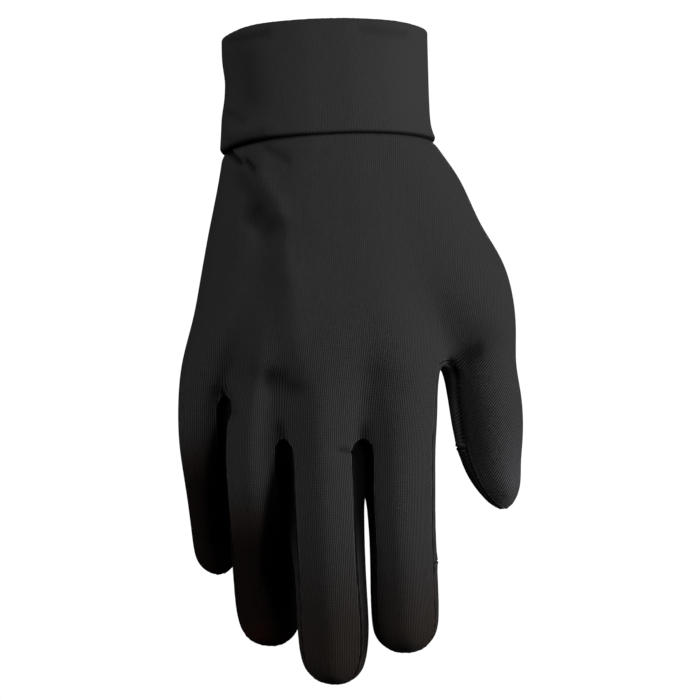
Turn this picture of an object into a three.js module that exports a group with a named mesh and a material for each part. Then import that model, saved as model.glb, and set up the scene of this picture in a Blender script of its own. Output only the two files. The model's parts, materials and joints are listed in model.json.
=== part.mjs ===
// A thin stretch-jersey glove for the right hand, in the form it has when worn, hanging from the wrist.
// Millimetres, +Z up. The origin is the centre of the wrist opening, the fingers point down,
// the back of the hand faces -Y and the thumb is on the +X side.
import * as THREE from "three";

// Driving sizes of the cloth
const WALL = 1.0;
const CUFF_WALL = 2.2;
const CUFF_PROUD = 0.6;
const SEAM_GAP = 0.3;

// Lean of the wrist towards the palm going up, and rise of its seam and of its rim towards the thumb,
// in degrees
const WRIST_LEAN = 12;
const WRIST_RISE = 3;
const RIM_RISE = 1.7;
// Heights between which the rings of the hand turn from square to the wrist to square to the fingers
const WRIST_END = -37.5;
const HAND_START = -75;

// Sections down each finger and down the part of the hand above it. Depth is positive towards the palm,
// and turn is how far the back of the section faces to the thumb side, in degrees.
const COLUMNS = ["z", "x", "y", "halfWidth", "halfDepth", "turn"];
const RAYS = [
  {
    name: "little",
    sections: [
      [0, -24.5, 0, 8.5, 14.8, 0],
      [-37.5, -25.0, -8, 8.5, 14.8, 0],
      [-60, -29.0, -9, 8.0, 14.2, -4],
      [-82, -32.8, -7, 8.0, 13.4, -6],
      [-93, -34.7, -6.5, 8.0, 12.8, -7.5],
      [-110, -38.8, -5.8, 8.1, 11.6, -10],
      [-122, -40.2, -4.6, 7.8, 10.0, -12],
      [-130, -40.5, -3.0, 7.7, 9.2, -12],
      [-137, -40.0, 0.4, 7.6, 8.8, -12],
      [-150, -38.6, 9.0, 7.3, 8.2, -12],
      [-162, -37.3, 17.2, 7.1, 7.8, -12],
      [-168.5, -36.5, 21.1, 7.4, 7.0, -12],
      [-175, -36.0, 24.2, 6.4, 5.6, -12],
    ],
    tip: [-35.2, 25.0, -179.3],
  },
  {
    name: "ring",
    sections: [
      [0, -10.5, 0, 5.6, 20.7, 0],
      [-37.5, -10.2, -8, 5.6, 20.7, 0],
      [-60, -12.0, -9.5, 6.5, 19.5, -2],
      [-82, -15.0, -10.3, 7.5, 17.5, -4],
      [-110, -20.4, -10.5, 8.6, 15.4, -6],
      [-122, -22.5, -10.4, 9.3, 13.8, -6],
      [-135.5, -23.0, -9.2, 9.7, 12.2, -7],
      [-146, -22.4, -7.4, 9.9, 11.2, -8],
      [-153, -22.0, -4.4, 9.9, 10.8, -8],
      [-165, -20.9, 3.2, 10.3, 10.5, -8],
      [-180, -19.7, 13.4, 10.6, 10.2, -8],
      [-191.5, -18.9, 19.6, 10.7, 9.4, -8],
      [-199, -18.4, 22.7, 9.0, 7.6, -8],
    ],
    tip: [-17.6, 23.6, -203.0],
  },
  {
    name: "middle",
    sections: [
      [0, 1.5, 0, 5.6, 21.8, 0],
      [-37.5, 3.0, -8, 5.6, 21.8, 0],
      [-60, 3.5, -9.8, 7.0, 20.6, 0],
      [-82, 3.0, -11.3, 9.0, 18.6, -1],
      [-110, 1.0, -12.5, 11.0, 16.5, -3],
      [-122, 0.0, -12.7, 11.8, 15.0, -4],
      [-135.5, 0.1, -11.9, 12.3, 13.4, -6],
      [-150, 0.7, -10.4, 12.2, 12.2, -6],
      [-165, 1.3, -7.2, 12.0, 11.6, -6],
      [-180, 2.1, -1.9, 11.7, 11.2, -6],
      [-195, 2.8, 4.2, 11.8, 10.6, -6],
      [-204.5, 3.0, 8.0, 11.2, 9.6, -6],
      [-211, 2.9, 10.5, 9.2, 8.2, -6],
    ],
    tip: [2.9, 11.0, -215.2],
  },
  {
    name: "index",
    sections: [
      [0, 12.2, 0, 5.0, 20.4, 0],
      [-37.5, 15.2, -8, 5.2, 20.4, 0],
      [-60, 17.6, -9.6, 6.5, 19.2, 2],
      [-82, 21.0, -10.3, 8.5, 17.4, 4],
      [-110, 26.4, -11, 12.0, 15.5, 3],
      [-122, 25.6, -11, 11.5, 14.2, 2],
      [-135.5, 25.0, -10.0, 11.5, 12.6, 0],
      [-150, 25.1, -8.2, 11.4, 11.6, 0],
      [-165, 25.7, -4.8, 11.1, 11.0, 0],
      [-180, 26.3, 0.4, 11.2, 10.6, 0],
      [-190, 26.6, 4.4, 11.2, 10.0, 0],
      [-199.5, 26.8, 8.2, 9.8, 8.6, 0],
    ],
    tip: [26.6, 10.0, -204.6],
  },
  {
    name: "thumb",
    sections: [
      [0, 24.5, 0, 8.5, 14.8, 0],
      [-28, 25.2, -6, 8.5, 14.8, 0],
      [-37.5, 27.0, -8, 8.6, 14.8, 0],
      [-60, 37.9, -5.5, 11.4, 15.0, 6],
      [-71, 41.2, -3.1, 12.6, 15.2, 9],
      [-82, 46.1, -0.5, 14.4, 15.2, 12],
      [-88, 48.9, 0.7, 14.3, 14.9, 13],
      [-96.5, 49.9, 2, 13.5, 14.2, 15],
      [-110, 51.1, 4, 12.4, 12.6, 16],
      [-123.8, 53.4, 6, 12.1, 11.4, 16],
      [-139.6, 55.2, 9, 10.4, 10.0, 16],
      [-151.5, 58.6, 12, 6.4, 6.8, 16],
    ],
    tip: [60.0, 12.8, -157.0],
  },
];

// Heights of the rings of the cuff and of the hand, down to the crotches of the fingers
const CUFF_RINGS = [-0.6, -14, -28];
const HAND_RINGS = [-37.5, -52, -67, -82, -96.5, -110, -122, -135.5];
// Heights of the rings of each finger below its crotch
const FINGER_RINGS = [
  [-145.5, -155, -165, -174.6],
  [-147.5, -160, -173, -186, -198.5],
  [-148, -160.5, -174, -187, -199.5, -210.7],
  [-148.7, -161.8, -175, -188, -199.5],
  [-144, -151.5],
];
const TRUNK_RINGS = [...CUFF_RINGS, ...HAND_RINGS];
const SEAM_RING = CUFF_RINGS.length;
// Ring at which each finger parts from the next one, and how round the fingers are there
// and on the rings above
const PARTING_RINGS = [SEAM_RING + 6, SEAM_RING + 7, SEAM_RING + 7, SEAM_RING + 5];
const ROUNDNESS = [0.85, 0.45, 0.15, 0.04];
// Share of the way from one finger's middle to the next that the finger's own half takes up
const FINGER_SHARE = 0.42;

// Strips on the little side and on the thumb side of each finger
const SIDE_PANELS = [
  [null, "fourchette_little_ring"],
  ["fourchette_little_ring", "fourchette_ring_middle"],
  ["fourchette_ring_middle", "fourchette_middle_index"],
  ["fourchette_middle_index", "gusset_index_thumb"],
  ["gusset_index_thumb", null],
];
// Height at which the gusset ends on the index finger and on the thumb, in a short cross seam
const GUSSET = "gusset_index_thumb";
const GUSSET_ENDS = { index: -175, thumb: -135.5 };
// Angles from the middle of a finger's back to the back seam, the middle and the palm seam of a strip,
// on the finger's little side and on its thumb side
const STRIP_ANGLES = [
  [[58, 90, 122], [58, 90, 122]],
  [[76, 99, 124], [58, 90, 122]],
  [[58, 90, 122], [58, 90, 122]],
  [[58, 90, 122], [80, 102, 126]],
  [[58, 90, 122], [58, 90, 122]],
];
// Angle from the middle of a strip to its seams at its end, and the length over which it closes to that
const END_SPREAD = 10;
const CLOSING_LENGTH = 40;

// Hollows in the cloth of the back: place, direction in degrees from +X towards +Z, size and depth
const HOLLOW_COLUMNS = ["x", "z", "direction", "halfLength", "halfWidth", "depth"];
const HOLLOWS = [
  [-18.6, -61.7, -70, 10, 4.5, 1.2],
  [-28.0, -43.0, -35, 7, 2.2, 0.7],
  [-30.5, -114.0, 85, 10, 4.0, 0.9],
  [-13.5, -118.0, 85, 10, 4.5, 1.1],
  [13.5, -117.0, 95, 10, 4.5, 0.8],
  [45.5, -105.0, 60, 9, 5.0, 1.2],
];

const CLOTH_COLOURS = {
  cuff_band: 0x343436,
  back_panel: 0x303032,
  palm_panel: 0x2c2c2e,
  fourchette_little_ring: 0x262628,
  fourchette_ring_middle: 0x262628,
  fourchette_middle_index: 0x262628,
  gusset_index_thumb: 0x2a2a2c,
};
const CLOTH_ROUGHNESS = 0.85;

// A value of a table at any height, on a smooth curve through its rows
function tableValue(sections, column, z) {
  const k = COLUMNS.indexOf(column);
  const last = sections.length - 1;
  let i = 0;
  while (i < last - 1 && z < sections[i + 1][0]) {
    i += 1;
  }
  const slope = (n) => {
    const before = sections[Math.max(n - 1, 0)];
    const after = sections[Math.min(n + 1, last)];
    return (after[k] - before[k]) / (after[0] - before[0]);
  };
  const span = sections[i + 1][0] - sections[i][0];
  const t = (z - sections[i][0]) / span;
  const blend = t * t * (3 - 2 * t);
  const bend = slope(i) * t * (1 - t) ** 2 - slope(i + 1) * t * t * (1 - t);
  return sections[i][k] * (1 - blend) + sections[i + 1][k] * blend + span * bend;
}

const toRadians = THREE.MathUtils.degToRad;
const WRIST_AXIS = new THREE.Vector3(
  Math.sin(toRadians(WRIST_RISE)),
  -Math.sin(toRadians(WRIST_LEAN)),
  -Math.cos(toRadians(WRIST_LEAN))
).normalize();

// 1 at the wrist, 0 from the middle of the hand down
function wristShare(z) {
  return THREE.MathUtils.smoothstep(z, HAND_START, WRIST_END);
}

// The oval section of a finger, square to the finger's own line
function sectionAt(ray, z) {
  const value = (column, height = z) => tableValue(ray.sections, column, height);
  const lineAt = (height) => new THREE.Vector3(value("x", height), value("y", height), height);
  const step = 2;
  const along = lineAt(z - step).sub(lineAt(z + step)).normalize();
  along.lerp(WRIST_AXIS, wristShare(z)).normalize();
  const turn = toRadians(value("turn"));
  const back = new THREE.Vector3(Math.sin(turn), -Math.cos(turn), 0);
  back.addScaledVector(along, -back.dot(along)).normalize();
  return {
    centre: lineAt(z),
    back,
    side: new THREE.Vector3().crossVectors(back, along),
    halfWidth: value("halfWidth"),
    halfDepth: value("halfDepth"),
  };
}

// A point of an oval, at an angle from the middle of its back towards the thumb side
function ovalPoint(section, degrees) {
  const angle = toRadians(degrees);
  return section.centre.clone()
    .addScaledVector(section.back, section.halfDepth * Math.cos(angle))
    .addScaledVector(section.side, section.halfWidth * Math.sin(angle));
}

// A smooth closed curve once round the hand, through the middles of the fingers' backs and palms
function handCurve(sections) {
  const keys = [
    ovalPoint(sections[0], -90),
    ...sections.map((section) => ovalPoint(section, 0)),
    ovalPoint(sections[4], 90),
    ...sections.map((section) => ovalPoint(section, 180)).reverse(),
  ];
  return (place) => {
    const i = Math.floor(place);
    const t = place - i;
    const [a, b, c, d] = [-1, 0, 1, 2].map((n) => keys[(i + n + keys.length) % keys.length]);
    const weights = [
      -0.5 * t + t * t - 0.5 * t ** 3,
      1 - 2.5 * t * t + 1.5 * t ** 3,
      0.5 * t + 2 * t * t - 1.5 * t ** 3,
      -0.5 * t * t + 0.5 * t ** 3,
    ];
    const point = new THREE.Vector3();
    [a, b, c, d].forEach((near, n) => point.addScaledVector(near, weights[n]));
    return point;
  };
}

// Where each of a finger's eight points lies on the hand curve. Points 0 to 2 are on its back,
// 3 on its thumb side, 4 to 6 on its palm and 7 on its little side.
function placesOnHand(ray) {
  const back = 1 + ray;
  const palm = 11 - ray;
  const toLittle = ray === 0 ? 0.5 : FINGER_SHARE;
  const toThumb = ray === 4 ? 0.5 : FINGER_SHARE;
  return [back - toLittle, back, back + toThumb, 6, palm - toThumb, palm, palm + toLittle, 0];
}

// Angles of the back seam, the middle and the palm seam on one side of a finger. The seams near each
// other where the strip ends.
function stripAngles(ray, side, z) {
  const panel = SIDE_PANELS[ray][side];
  const [back, middle, palm] = STRIP_ANGLES[ray][side];
  if (!panel) {
    return [back, middle, palm];
  }
  const end = panel === GUSSET ? GUSSET_ENDS[RAYS[ray].name] : FINGER_RINGS[ray].at(-1);
  const t = Math.min(Math.abs(z - end) / CLOSING_LENGTH, 1);
  const width = t * t * (3 - 2 * t);
  const backSpread = END_SPREAD + (middle - back - END_SPREAD) * width;
  const palmSpread = END_SPREAD + (palm - middle - END_SPREAD) * width;
  return [middle - backSpread, middle, middle + palmSpread];
}

function fingerRing(ray, section) {
  const little = stripAngles(ray, 0, section.centre.z);
  const thumb = stripAngles(ray, 1, section.centre.z);
  const angles = [-little[0], 0, ...thumb, 180, -little[2], -little[1]];
  return angles.map((degrees) => ovalPoint(section, degrees));
}

// The ring at which a side of a finger is free: points 0, 6 and 7 are on the little side
function partingRing(ray, point) {
  const side = [0, 6, 7].includes(point) ? ray - 1 : ray;
  return PARTING_RINGS[Math.min(Math.max(side, 0), PARTING_RINGS.length - 1)];
}

// The side points, 3 and 7, exist only where the finger's side is open
function isOpen(ray, point, ring) {
  const outer = (ray === 0 && point === 7) || (ray === 4 && point === 3);
  return outer || ![3, 7].includes(point) || ring >= partingRing(ray, point);
}

// The eight points of a finger on one ring of the hand, between the hand's curve and its own oval
function handRing(ray, ring, section, curve) {
  const places = placesOnHand(ray);
  return fingerRing(ray, section).map((own, point) => {
    const above = partingRing(ray, point) - ring;
    const inner = (point === 3 && ray < 4) || (point === 7 && ray > 0);
    const round = above < 0 || inner ? 1 : ROUNDNESS[above] ?? 0;
    return curve(places[point]).lerp(own, round);
  });
}

// The panel that covers the net from one point of a finger to the next. The back panel goes round
// the outer sides of the hand, and past the end of the gusset the palm panel takes its place.
function panelOf(ray, point, ring, z) {
  if (ring < SEAM_RING) {
    return "cuff_band";
  }
  if (point < 2) {
    return "back_panel";
  }
  if (point === 4 || point === 5) {
    return "palm_panel";
  }
  const strip = SIDE_PANELS[ray][point < 4 ? 1 : 0];
  const pastEnd = strip === GUSSET && z <= GUSSET_ENDS[RAYS[ray].name];
  return pastEnd ? "palm_panel" : strip ?? "back_panel";
}

// The rings of the wrist rise from the little side to the thumb side, the rim less than the seam
function risen(position) {
  const rise = THREE.MathUtils.mapLinear(position.z, 0, WRIST_END, RIM_RISE, WRIST_RISE);
  position.z += position.x * Math.tan(toRadians(rise)) * wristShare(position.z);
  return position;
}

// The coarse net of the whole glove, as points and quads that each name their panel
function gloveNet() {
  const points = [];
  const numbers = new Map();
  const put = (name, position) => numbers.set(name, points.push(position) - 1);
  TRUNK_RINGS.forEach((z, ring) => {
    const sections = RAYS.map((ray) => sectionAt(ray, z));
    const curve = handCurve(sections);
    sections.forEach((section, ray) => {
      handRing(ray, ring, section, curve).forEach((position, point) => {
        if (isOpen(ray, point, ring)) {
          put(`${ray} ${ring} ${point}`, risen(position));
        }
      });
    });
  });
  FINGER_RINGS.forEach((heights, ray) => {
    heights.forEach((z, n) => {
      const ring = TRUNK_RINGS.length + n;
      fingerRing(ray, sectionAt(RAYS[ray], z)).forEach((position, point) => {
        put(`${ray} ${ring} ${point}`, position);
      });
    });
    put(`${ray} tip`, new THREE.Vector3(...RAYS[ray].tip));
  });

  const quads = [];
  const add = (panel, ...names) => {
    quads.push({ panel, corners: names.map((name) => numbers.get(name)) });
  };
  RAYS.forEach((_, ray) => {
    const heights = [...TRUNK_RINGS, ...FINGER_RINGS[ray]];
    const last = heights.length - 1;
    for (let ring = 0; ring < last; ring += 1) {
      for (let point = 0; point < 8; point += 1) {
        const next = (point + 1) % 8;
        if (isOpen(ray, point, ring) && isOpen(ray, next, ring)) {
          const panel = panelOf(ray, point, ring, heights[ring]);
          const [here, below] = [ring, ring + 1].map((n) => `${ray} ${n}`);
          add(panel, `${here} ${point}`, `${below} ${point}`, `${below} ${next}`, `${here} ${next}`);
        }
      }
    }
    for (const point of [0, 2, 4, 6]) {
      const corners = [point, point + 1, (point + 2) % 8];
      const [before, middle, after] = corners.map((corner) => `${ray} ${last} ${corner}`);
      add(panelOf(ray, point, last, heights[last]), before, `${ray} tip`, after, middle);
    }
  });
  PARTING_RINGS.forEach((parting, ray) => {
    for (let ring = 0; ring < parting; ring += 1) {
      const [here, below] = [`${ray} ${ring}`, `${ray} ${ring + 1}`];
      const [beyond, beyondBelow] = [`${ray + 1} ${ring}`, `${ray + 1} ${ring + 1}`];
      const back = ring < SEAM_RING ? "cuff_band" : "back_panel";
      const palm = ring < SEAM_RING ? "cuff_band" : "palm_panel";
      add(back, `${here} 2`, `${below} 2`, `${beyondBelow} 0`, `${beyond} 0`);
      add(palm, `${beyond} 6`, `${beyondBelow} 6`, `${below} 4`, `${here} 4`);
    }
    const strip = SIDE_PANELS[ray][1];
    const [here, beyond] = [`${ray} ${parting}`, `${ray + 1} ${parting}`];
    add(strip, `${here} 2`, `${here} 3`, `${beyond} 7`, `${beyond} 0`);
    add(strip, `${here} 3`, `${here} 4`, `${beyond} 6`, `${beyond} 7`);
  });
  return { points, quads };
}

// For each point of a net: the far ends of its edges, those of its open edges, and the far corners
// of its quads. Also the edges, each with its ends and quads.
function neighbourhood({ points, quads }) {
  const around = points.map(() => ({ ends: [], openEnds: [], across: [], quads: [] }));
  const edges = new Map();
  quads.forEach(({ corners }, number) => {
    corners.forEach((a, n) => {
      const b = corners[(n + 1) % 4];
      const name = a < b ? `${a} ${b}` : `${b} ${a}`;
      const edge = edges.get(name) ?? { ends: [a, b], quads: [] };
      edge.quads.push(number);
      edges.set(name, edge);
      around[a].across.push(corners[(n + 2) % 4]);
      around[a].quads.push(number);
    });
  });
  for (const { ends: [a, b], quads: sides } of edges.values()) {
    const list = sides.length === 1 ? ["ends", "openEnds"] : ["ends"];
    for (const kind of list) {
      around[a][kind].push(b);
      around[b][kind].push(a);
    }
  }
  return { around, edges };
}

function mean(vectors) {
  const total = new THREE.Vector3();
  vectors.forEach((vector) => total.add(vector));
  return total.divideScalar(vectors.length);
}

// Where the points of a net end up on the smooth surface that endless subdivision gives
function limitPoints(net, { around }) {
  return net.points.map((point, i) => {
    const at = (list) => list.map((n) => net.points[n]);
    const { ends, openEnds, across } = around[i];
    if (openEnds.length) {
      return mean(at(openEnds)).multiplyScalar(1 / 3).addScaledVector(point, 2 / 3);
    }
    const n = ends.length;
    return mean(at(ends)).multiplyScalar(4)
      .add(mean(at(across)))
      .addScaledVector(point, n)
      .divideScalar(n + 5);
  });
}

// Moves the points of a net in or out until its smooth surface is level with where they were
function fitNet(net, fitRounds = 12) {
  const targets = net.points.map((point) => point.clone());
  const near = neighbourhood(net);
  for (let round = 0; round < fitRounds; round += 1) {
    const reached = limitPoints(net, near);
    const normals = surfaceNormals(net);
    net.points.forEach((point, i) => {
      const short = targets[i].clone().sub(reached[i]).dot(normals[i]);
      point.addScaledVector(normals[i], short);
    });
  }
}

// One round of Catmull-Clark subdivision
function subdivide(net) {
  const { around, edges } = neighbourhood(net);
  const middles = net.quads.map(({ corners }) => mean(corners.map((n) => net.points[n])));
  const edgeNumbers = new Map();
  const edgePoints = [];
  for (const [name, { ends, quads }] of edges) {
    const parts = ends.map((n) => net.points[n]);
    if (quads.length === 2) {
      parts.push(...quads.map((n) => middles[n]));
    }
    edgeNumbers.set(name, net.points.length + middles.length + edgePoints.length);
    edgePoints.push(mean(parts));
  }
  const moved = net.points.map((point, i) => {
    const { ends, openEnds, quads } = around[i];
    if (openEnds.length) {
      const beside = openEnds.map((end) => net.points[end]);
      return mean(beside).multiplyScalar(0.25).addScaledVector(point, 0.75);
    }
    const n = ends.length;
    return mean(ends.map((end) => net.points[end]))
      .add(mean(quads.map((quad) => middles[quad])))
      .addScaledVector(point, n - 2)
      .divideScalar(n);
  });
  const edgeNumber = (a, b) => edgeNumbers.get(a < b ? `${a} ${b}` : `${b} ${a}`);
  const quads = net.quads.flatMap(({ panel, corners }, number) =>
    corners.map((corner, n) => {
      const after = edgeNumber(corner, corners[(n + 1) % 4]);
      const before = edgeNumber(corners[(n + 3) % 4], corner);
      return { panel, corners: [corner, after, net.points.length + number, before] };
    })
  );
  return { points: [...moved, ...middles, ...edgePoints], quads };
}

function surfaceNormals({ points, quads }) {
  const normals = points.map(() => new THREE.Vector3());
  for (const { corners } of quads) {
    const [a, b, c, d] = corners.map((n) => points[n]);
    const normal = c.clone().sub(a).cross(d.clone().sub(b));
    corners.forEach((n) => normals[n].add(normal));
  }
  return normals.map((normal) => normal.normalize());
}

// Presses the hollows into the back of the hand
function pressHollows(points, normals) {
  for (const row of HOLLOWS) {
    const hollow = Object.fromEntries(HOLLOW_COLUMNS.map((column, n) => [column, row[n]]));
    const direction = toRadians(hollow.direction);
    points.forEach((point, i) => {
      const [dx, dz] = [point.x - hollow.x, point.z - hollow.z];
      const along = (dx * Math.cos(direction) + dz * Math.sin(direction)) / hollow.halfLength;
      const across = (dz * Math.cos(direction) - dx * Math.sin(direction)) / hollow.halfWidth;
      const facing = Math.max(-normals[i].y, 0);
      const pressed = hollow.depth * facing * Math.exp(-along * along - across * across);
      point.addScaledVector(normals[i], -pressed);
    });
  }
}

// How far a panel's edge points step back from the seam: square to both edges that meet there
function stepsBack(surface, normals, openEdges) {
  const inward = new Map();
  for (const [a, b] of openEdges) {
    const edge = surface.points[b].clone().sub(surface.points[a]);
    for (const end of [a, b]) {
      const step = normals[end].clone().cross(edge).normalize();
      inward.set(end, [...(inward.get(end) ?? []), step]);
    }
  }
  return new Map([...inward].map(([end, [first, second]]) => {
    const miter = Math.max(1 + first.dot(second), 0.5);
    return [end, first.clone().add(second).multiplyScalar(SEAM_GAP / 2 / miter)];
  }));
}

// The closed shell of one panel: its outer face, its inner face and the rim between them
function panelGeometry(surface, normals, name) {
  const isCuff = name === "cuff_band";
  const proud = isCuff ? CUFF_PROUD : 0;
  const wall = isCuff ? CUFF_WALL : WALL;
  const quads = surface.quads.filter(({ panel }) => panel === name);
  const pairs = quads.flatMap(({ corners }) => corners.map((a, n) => [a, corners[(n + 1) % 4]]));
  const directed = new Set(pairs.map(([a, b]) => `${a} ${b}`));
  const openEdges = pairs.filter(([a, b]) => !directed.has(`${b} ${a}`));
  const steps = stepsBack(surface, normals, openEdges);

  const vertices = [];
  const numbers = new Map();
  const put = (layer, n, position) => numbers.set(`${layer} ${n}`, vertices.push(position) - 1);
  for (const n of new Set(quads.flatMap(({ corners }) => corners))) {
    const base = surface.points[n].clone();
    if (steps.has(n) && !surface.rim.has(n)) {
      base.add(steps.get(n));
    }
    put("outer", n, base.clone().addScaledVector(normals[n], proud));
    put("inner", n, base.clone().addScaledVector(normals[n], proud - wall));
    if (surface.rim.has(n)) {
      const outward = steps.get(n).clone().normalize().multiplyScalar(-wall / 2);
      put("fold", n, base.clone().addScaledVector(normals[n], proud - wall / 2).add(outward));
    }
  }

  const faces = [];
  const face = (...corners) => {
    const [a, b, c, d] = corners.map((corner) => numbers.get(corner));
    faces.push(a, b, c, a, c, d);
  };
  for (const { corners } of quads) {
    face(...corners.map((n) => `outer ${n}`));
    face(...corners.map((n) => `inner ${n}`).reverse());
  }
  for (const [a, b] of openEdges) {
    if (surface.rim.has(a)) {
      face(`outer ${b}`, `outer ${a}`, `fold ${a}`, `fold ${b}`);
      face(`fold ${b}`, `fold ${a}`, `inner ${a}`, `inner ${b}`);
    } else {
      face(`outer ${b}`, `outer ${a}`, `inner ${a}`, `inner ${b}`);
    }
  }
  const geometry = new THREE.BufferGeometry().setFromPoints(vertices);
  geometry.setIndex(faces);
  geometry.computeVertexNormals();
  return geometry;
}

const net = gloveNet();
fitNet(net);
const surface = subdivide(net);
const { around } = neighbourhood(surface);
surface.points = limitPoints(surface, { around });
surface.rim = new Set(surface.points.keys().filter((n) => around[n].openEnds.length));
pressHollows(surface.points, surfaceNormals(surface));
const normals = surfaceNormals(surface);

const glove = new THREE.Group();
for (const [name, color] of Object.entries(CLOTH_COLOURS)) {
  const material = new THREE.MeshStandardMaterial({ color, roughness: CLOTH_ROUGHNESS, metalness: 0 });
  const panel = new THREE.Mesh(panelGeometry(surface, normals, name), material);
  panel.name = name;
  glove.add(panel);
}

export default glove;
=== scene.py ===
# A thin stretch-jersey glove for the right hand, in the form it has when worn, held up at its wrist
# opening. Sizes are in millimetres until a piece is made. The fingers point down, the back of the
# hand faces -Y and the thumb is on the +X side.
import json
import math

import bpy
import numpy as np
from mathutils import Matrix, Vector, noise
from mathutils.kdtree import KDTree


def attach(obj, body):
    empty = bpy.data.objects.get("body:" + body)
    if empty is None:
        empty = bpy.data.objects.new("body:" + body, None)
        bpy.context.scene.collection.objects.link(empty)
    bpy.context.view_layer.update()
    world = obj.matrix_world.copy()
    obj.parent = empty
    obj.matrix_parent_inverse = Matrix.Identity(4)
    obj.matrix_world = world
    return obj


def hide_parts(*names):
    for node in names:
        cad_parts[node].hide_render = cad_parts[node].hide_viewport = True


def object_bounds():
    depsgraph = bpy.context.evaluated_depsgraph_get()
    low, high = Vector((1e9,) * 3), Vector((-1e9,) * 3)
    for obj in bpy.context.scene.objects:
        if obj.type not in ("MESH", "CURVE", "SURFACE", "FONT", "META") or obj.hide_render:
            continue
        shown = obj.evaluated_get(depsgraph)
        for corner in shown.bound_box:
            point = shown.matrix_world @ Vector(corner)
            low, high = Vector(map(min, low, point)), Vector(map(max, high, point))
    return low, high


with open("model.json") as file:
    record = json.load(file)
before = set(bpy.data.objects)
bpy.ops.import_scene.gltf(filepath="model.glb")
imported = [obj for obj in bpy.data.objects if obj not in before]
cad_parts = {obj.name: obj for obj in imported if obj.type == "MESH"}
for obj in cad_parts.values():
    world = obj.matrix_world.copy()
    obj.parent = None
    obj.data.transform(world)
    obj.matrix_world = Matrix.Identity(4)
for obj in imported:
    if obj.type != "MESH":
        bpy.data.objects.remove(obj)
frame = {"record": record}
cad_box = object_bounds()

MM = 0.001

# Lean of the wrist towards the palm going up, and rise of its seam and of its rim towards the thumb,
# in degrees
WRIST_LEAN = 12
WRIST_RISE = 3
RIM_RISE = 1.7
# Heights between which the rings of the hand turn from square to the wrist to square to the fingers
WRIST_END = -37.5
HAND_START = -75

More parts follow.
